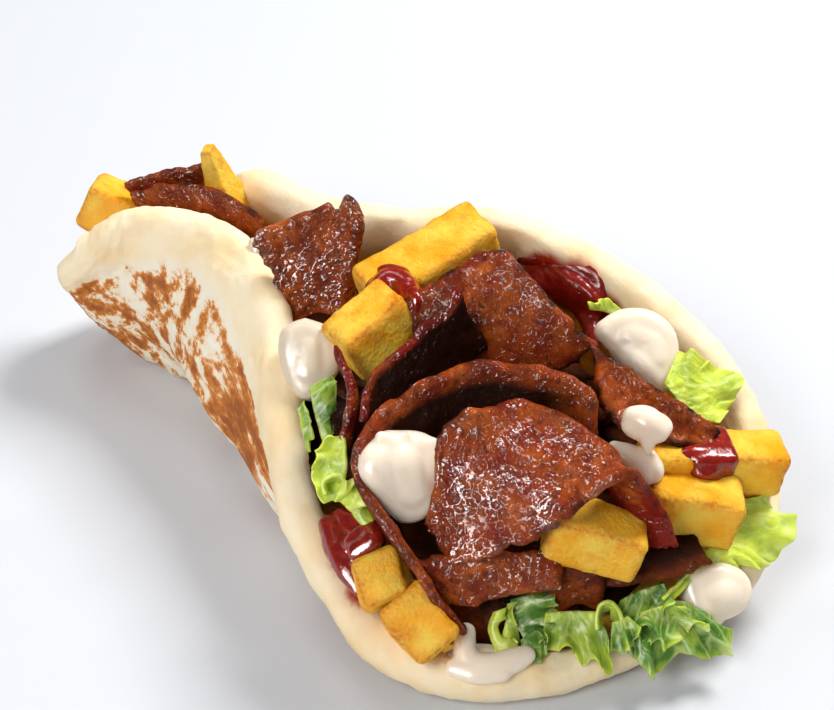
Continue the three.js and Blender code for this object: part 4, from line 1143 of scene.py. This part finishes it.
# a small lump of white sauce on the near edge of the bread, which is in no pool
LUMP = (((-50.4, -13.4, 48.5), (1.8, 1.6, 1.6), 0), (
    ((-51.1, -13.5, 49, 1.3), (-50.1, -13.4, 48.4, 1.6), (-49.6, -14.1, 47.4, 1.3)),))
RED_POOLS = {
    "wall": (((2, 29.5, 37), (11, 2.6, 5.5), -5), (
        ((-9, 28.5, 41, 1.8), (-3, 31, 42.5, 2), (3, 32.5, 42.6, 2.2), (8, 33, 41.4, 2.8), (10.5, 31, 38.5, 2)),
        ((-5, 29, 37, 2.4), (3, 29.5, 36, 2.8), (9, 28.5, 34, 2.6), (14, 24, 32, 1.8)))),
    "left": (((9.5, -51.5, 24), (8, 5, 3.2), -25), (
        ((2.5, -49.5, 24.5, 2.4), (8, -53, 24.5, 2.8), (13, -56, 24.5, 2.6), (17.5, -57.5, 22.5, 1.6)),
        ((3, -46.5, 25, 2), (10, -47.5, 26.5, 2.6), (17, -49, 26, 2), (20, -52, 28, 1.4)),
        ((12, -53, 28.5, 2), (14.5, -50.5, 31, 2.6), (17, -52.5, 32, 2), (15, -55, 29.5, 2.2)))),
    "on_fry": (((-17, -8.5, 50.5), (5, 4.2, 3.2), 60), (
        ((-17.5, -13, 51.5, 1.8), (-17, -8, 53, 2.2), (-12.5, -7.5, 53, 2.2), (-10, -10.5, 51.5, 1.6)),
        ((-21.5, -6.6, 51.6, 1.1), (-18.5, -6.2, 52.9, 1.8), (-15.5, -5.6, 53, 2)),
        ((-13, -6.2, 52.2, 2), (-9.5, -8.6, 53.6, 1.6), (-7, -11, 54.6, 1.4), (-6, -11.8, 52.6, 1)))),
    "right": (((54, 6, 33.4), (4.4, 5, 2.4), 45), (
        ((50.5, 1, 35.4, 1.6), (53, 4, 36, 2), (56, 9, 34.8, 1.8)), ((56.5, 5.5, 32, 2.2), (58, 6, 28.4, 1.8)))),
}


class SauceSettings(bpy.types.PropertyGroup):
    """Colours of the sauces, and how finely they are rounded."""

    voxel: bpy.props.FloatProperty(
        name="Fineness", description="Size of the steps that the balls are joined in", default=0.5 * MM,
        unit="LENGTH")
    white: bpy.props.FloatVectorProperty(
        name="Garlic sauce", description="Colour of the white sauce", subtype="COLOR", size=4,
        default=linear("#f3e2cb"))
    # A darker, yellower white for the painted shade on the sauce towards the narrow end.
    shaded_white: bpy.props.FloatVectorProperty(
        name="Thin garlic sauce", description="Colour of the white sauce where juice shows through it",
        subtype="COLOR", size=4, default=linear("#d8c8b0"))
    red: bpy.props.FloatVectorProperty(
        name="Chilli sauce", description="Colour of the red sauce", subtype="COLOR", size=4,
        default=linear("#7d160f"))
    pulp: bpy.props.FloatVectorProperty(
        name="Pepper pulp", description="Colour of the pulp in the red sauce", subtype="COLOR", size=4,
        default=linear("#96200f"))


def garlic_sauce(settings):
    """Garlic yoghurt sauce: thick, smooth and wet, a warm white that light sinks into a little."""
    material, tree, place = new_material("garlic_sauce")
    ripple = add_node(tree, "ShaderNodeTexNoise", {"Vector": place, "Scale": 1 / 5, "Detail": 2.0}).outputs[0]
    bump = add_node(tree, "ShaderNodeBump", {"Height": ripple, "Strength": 0.3, "Distance": 0.8 * MM})
    # towards the narrow end the sauce is painted darker and yellower, as painted shade
    along = add_node(tree, "ShaderNodeSeparateXYZ", {0: place}).outputs[0]
    thin = add_node(tree, "ShaderNodeMapRange", {0: along, 1: -15, 2: -21, 4: 0.9}).outputs[0]
    white = add_node(tree, "ShaderNodeMix", {
        0: thin, 6: settings.white, 7: settings.shaded_white}, data_type="RGBA").outputs[2]
    shader = add_node(tree, "ShaderNodeBsdfPrincipled", {
        "Base Color": white, "Normal": bump.outputs[0], "Roughness": 0.28, "IOR": 1.38,
        "Subsurface Weight": 0.4, "Subsurface Radius": (1.0, 0.8, 0.6), "Subsurface Scale": 3 * MM})
    add_node(tree, "ShaderNodeOutputMaterial", {"Surface": shader.outputs[0]})
    return material


def chilli_sauce(settings):
    """Chilli sauce: a thick red puree with a wet skin, grainy with pepper pulp."""
    material, tree, place = new_material("chilli_sauce")
    pulp = add_node(tree, "ShaderNodeTexNoise", {"Vector": place, "Scale": 1 / 1.4, "Detail": 3.0}).outputs[0]
    lighter = add_node(tree, "ShaderNodeMapRange", {0: pulp, 1: 0.4, 2: 0.65}).outputs[0]
    colour = add_node(tree, "ShaderNodeMix", {
        0: lighter, 6: settings.red, 7: settings.pulp}, data_type="RGBA").outputs[2]
    bump = add_node(tree, "ShaderNodeBump", {"Height": pulp, "Strength": 0.4, "Distance": 0.5 * MM})
    shader = add_node(tree, "ShaderNodeBsdfPrincipled", {
        "Base Color": colour, "Normal": bump.outputs[0], "Roughness": 0.2, "IOR": 1.4, "Coat Weight": 0.4,
        "Coat Roughness": 0.06})
    add_node(tree, "ShaderNodeOutputMaterial", {"Surface": shader.outputs[0]})
    return material


BALL_STEP = 0.6  # millimetres between the balls of a run
# the coat of red sauce on the right fry: the stretch it covers, as shares of the fry's length, and its thickness
COATED = (0.28, 0.62)
COAT = 0.5


def pour(body, runs):
    """Balls of sauce: the body of a pool, and the runs that spread from it, close enough to join."""
    bm = bmesh.new()
    middle, half, turn = body
    ball = bmesh.ops.create_icosphere(bm, subdivisions=4, radius=1)["verts"]
    bmesh.ops.scale(bm, vec=half, verts=ball)
    bmesh.ops.rotate(bm, matrix=Matrix.Rotation(math.radians(turn), 3, "Z"), verts=ball)
    bmesh.ops.translate(bm, vec=middle, verts=ball)
    for knots in runs:
        length = np.linalg.norm(np.diff(np.array(knots)[:, :3], axis=0), axis=1).sum()
        for x, y, z, radius in spline(knots)(np.linspace(0, 1, math.ceil(length / BALL_STEP))):
            ball = bmesh.ops.create_icosphere(bm, subdivisions=3, radius=radius)["verts"]
            bmesh.ops.translate(bm, vec=(x, y, z), verts=ball)
    return bm


def settle(piece, voxel):
    """Runs the balls of a sauce together into one smooth skin."""
    joined = piece.modifiers.new("joined", "REMESH")
    joined.mode = "VOXEL"
    joined.voxel_size = voxel
    joined.use_smooth_shade = True
    eased = piece.modifiers.new("eased", "SMOOTH")
    eased.factor = 0.6
    eased.iterations = 6


class SANDWICH_OT_white_sauce(bpy.types.Operator):
    """Spoons the white garlic sauce over the filling"""

    bl_idname = "sandwich.white_sauce"
    bl_label = "White sauce"

    def execute(self, context):
        settings = context.scene.sandwich_sauces
        finish = garlic_sauce(settings)
        for name, (body, runs) in WHITE_POOLS.items():
            piece = serve(f"garlic_sauce_{name}", pour(body, runs), finish, "white_sauce", f"white_sauce_{name}")
            settle(piece, settings.voxel)
        lump = serve("garlic_sauce_lump", pour(*LUMP), finish, "white_sauce")
        settle(lump, settings.voxel)
        return {"FINISHED"}


class SANDWICH_OT_red_sauce(bpy.types.Operator):
    """Spoons the red chilli sauce over the filling"""

    bl_idname = "sandwich.red_sauce"
    bl_label = "Red sauce"

    def execute(self, context):
        settings = context.scene.sandwich_sauces
        finish = chilli_sauce(settings)
        fry = fry_sizes("right", context.scene.sandwich_fries.side / MM)
        for name, (body, runs) in RED_POOLS.items():
            bm = pour(body, runs)
            if name == "right":
                coat, _ = fry_bar(**fry, seed=1 + list(FRIES).index("right"), grow=COAT, span=COATED)
                bm = join([bm, coat])
            piece = serve(f"chilli_sauce_{name}", bm, finish, "red_sauce", f"red_sauce_{name}")
            settle(piece, settings.voxel)
        return {"FINISHED"}


# ---------------------------------------------------------------- stage

FLOOR_HALF = 3  # half the side of the floor, in metres
LOOK_AT = (-0.037, 0.025, 0.0)  # what the camera points at, in metres
SKY_IN_GLOSS = 0.3  # the share of the sky's light that glossy food mirrors


class StageSettings(bpy.types.PropertyGroup):
    """The floor, the light and the camera."""

    floor: bpy.props.FloatVectorProperty(
        name="Floor", description="Colour of the floor", subtype="COLOR", size=4, default=linear("#cfd1d4"))
    sky: bpy.props.FloatVectorProperty(
        name="Sky", description="Colour of the light from all round", subtype="COLOR", size=4,
        default=linear("#f3f6ff"))
    key: bpy.props.FloatProperty(
        name="Key light", description="Power of the large soft light", default=9.5, unit="POWER")
    fill: bpy.props.FloatProperty(
        name="Sky light", description="Strength of the light from all round", default=0.28, subtype="FACTOR")
    azimuth: bpy.props.FloatProperty(
        name="Camera azimuth", description="Camera's turn about the sandwich", default=math.radians(40),
        subtype="ANGLE")
    elevation: bpy.props.FloatProperty(
        name="Camera elevation", description="Camera's height as an angle", default=math.radians(40),
        subtype="ANGLE")
    distance: bpy.props.FloatProperty(
        name="Camera distance", description="From the camera to what it looks at", default=0.475, unit="LENGTH")


class SANDWICH_OT_stage(bpy.types.Operator):
    """Sets out the floor, the lights and the camera"""

    bl_idname = "sandwich.stage"
    bl_label = "Stage"

    def execute(self, context):
        scene = context.scene
        settings = scene.sandwich_stage
        bm = bmesh.new()
        bmesh.ops.create_grid(bm, x_segments=1, y_segments=1, size=FLOOR_HALF)
        mesh = bpy.data.meshes.new("floor")
        bm.to_mesh(mesh)
        bm.free()
        floor = bpy.data.objects.new("floor", mesh)
        scene.collection.objects.link(floor)
        paper = bpy.data.materials.new("studio_paper")
        paper.use_nodes = True
        shader = paper.node_tree.nodes["Principled BSDF"]
        shader.inputs["Base Color"].default_value = settings.floor
        shader.inputs["Roughness"].default_value = 0.9
        shader.inputs["Specular IOR Level"].default_value = 0.2
        mesh.materials.append(paper)

        world = bpy.data.worlds.new("studio")
        world.use_nodes = True
        sky = world.node_tree.nodes["Background"]
        sky.inputs["Color"].default_value = settings.sky
        mirrored = add_node(world.node_tree, "ShaderNodeLightPath").outputs["Is Glossy Ray"]
        strength = add_node(world.node_tree, "ShaderNodeMapRange", {
            0: mirrored, 3: settings.fill, 4: settings.fill * SKY_IN_GLOSS})
        world.node_tree.links.new(strength.outputs[0], sky.inputs["Strength"])
        scene.world = world

        # back is the way from the food to the camera; right and away lie flat
        back = Vector((
            math.sin(settings.azimuth) * math.cos(settings.elevation),
            -math.cos(settings.azimuth) * math.cos(settings.elevation), math.sin(settings.elevation)))
        right = Vector((math.cos(settings.azimuth), math.sin(settings.azimuth), 0))
        away = Vector((-math.sin(settings.azimuth), math.cos(settings.azimuth), 0))
        # each light's size in metres, its power and its place; the glint only shows as shine
        for name, size, power, place in (
                ("key_light", 0.32, settings.key, right * 0.42 + away * 0.38 + Vector((0, 0, 0.75))),
                ("top_light", 0.3, settings.key * 0.14, -right * 0.3 + away * 0.4 + Vector((0, 0, 0.8))),
                ("front_light", 0.3, settings.key * 0.29, -right * 0.32 - away * 0.45 + Vector((0, 0, 0.55))),
                ("glint_light", 0.5, settings.key * 2.4, Vector((0.02, -0.62, 0.17)))):
            lamp = bpy.data.lights.new(name, "AREA")
            lamp.shape = "SQUARE"
            lamp.size = size
            lamp.energy = power
            light = bpy.data.objects.new(name, lamp)
            light.location = place
            light.rotation_euler = place.to_track_quat("Z", "Y").to_euler()
            light.visible_diffuse = name != "glint_light"
            scene.collection.objects.link(light)

        lens = bpy.data.cameras.new("camera")
        lens.lens = 85
        lens.sensor_width = 36
        lens.clip_start = 0.01
        camera = bpy.data.objects.new("camera", lens)
        camera.location = Vector(LOOK_AT) + back * settings.distance
        camera.rotation_euler = back.to_track_quat("Z", "Y").to_euler()
        scene.collection.objects.link(camera)
        scene.camera = camera
        scene.view_settings.view_transform = "Standard"
        return {"FINISHED"}


# ---------------------------------------------------------------- add-on

class SANDWICH_PT_panel(bpy.types.Panel):
    """Lists the pieces of the sandwich"""

    bl_idname = "SANDWICH_PT_panel"
    bl_label = "Doner Sandwich"
    bl_space_type = "VIEW_3D"
    bl_region_type = "UI"
    bl_category = "Sandwich"

    def draw(self, context):
        for operator in OPERATORS:
            self.layout.operator(operator.bl_idname)


OPERATORS = (
    SANDWICH_OT_stage, SANDWICH_OT_flatbread, SANDWICH_OT_packed_filling, SANDWICH_OT_meat_slices,
    SANDWICH_OT_fries, SANDWICH_OT_lettuce, SANDWICH_OT_white_sauce, SANDWICH_OT_red_sauce)
SETTINGS = {
    "sandwich_bread": BreadSettings, "sandwich_meat": MeatSettings, "sandwich_fries": FrySettings,
    "sandwich_lettuce": LettuceSettings, "sandwich_sauces": SauceSettings, "sandwich_stage": StageSettings}


def register():
    """Adds the settings, the operators and the panel."""
    for settings in SETTINGS.values():
        bpy.utils.register_class(settings)
    for name, settings in SETTINGS.items():
        setattr(bpy.types.Scene, name, bpy.props.PointerProperty(type=settings))
    for operator in OPERATORS:
        bpy.utils.register_class(operator)
    bpy.utils.register_class(SANDWICH_PT_panel)


def unregister():
    """Takes the panel, the operators and the settings away again."""
    bpy.utils.unregister_class(SANDWICH_PT_panel)
    for operator in reversed(OPERATORS):
        bpy.utils.unregister_class(operator)
    for name, settings in SETTINGS.items():
        delattr(bpy.types.Scene, name)
        bpy.utils.unregister_class(settings)


def main():
    """Makes the sandwich on its stage."""
    register()
    bpy.ops.sandwich.stage()
    bpy.ops.sandwich.flatbread()
    bpy.ops.sandwich.packed_filling()
    bpy.ops.sandwich.meat_slices()
    bpy.ops.sandwich.fries()
    bpy.ops.sandwich.lettuce()
    bpy.ops.sandwich.white_sauce()
    bpy.ops.sandwich.red_sauce()


if __name__ == "__main__":
    main()
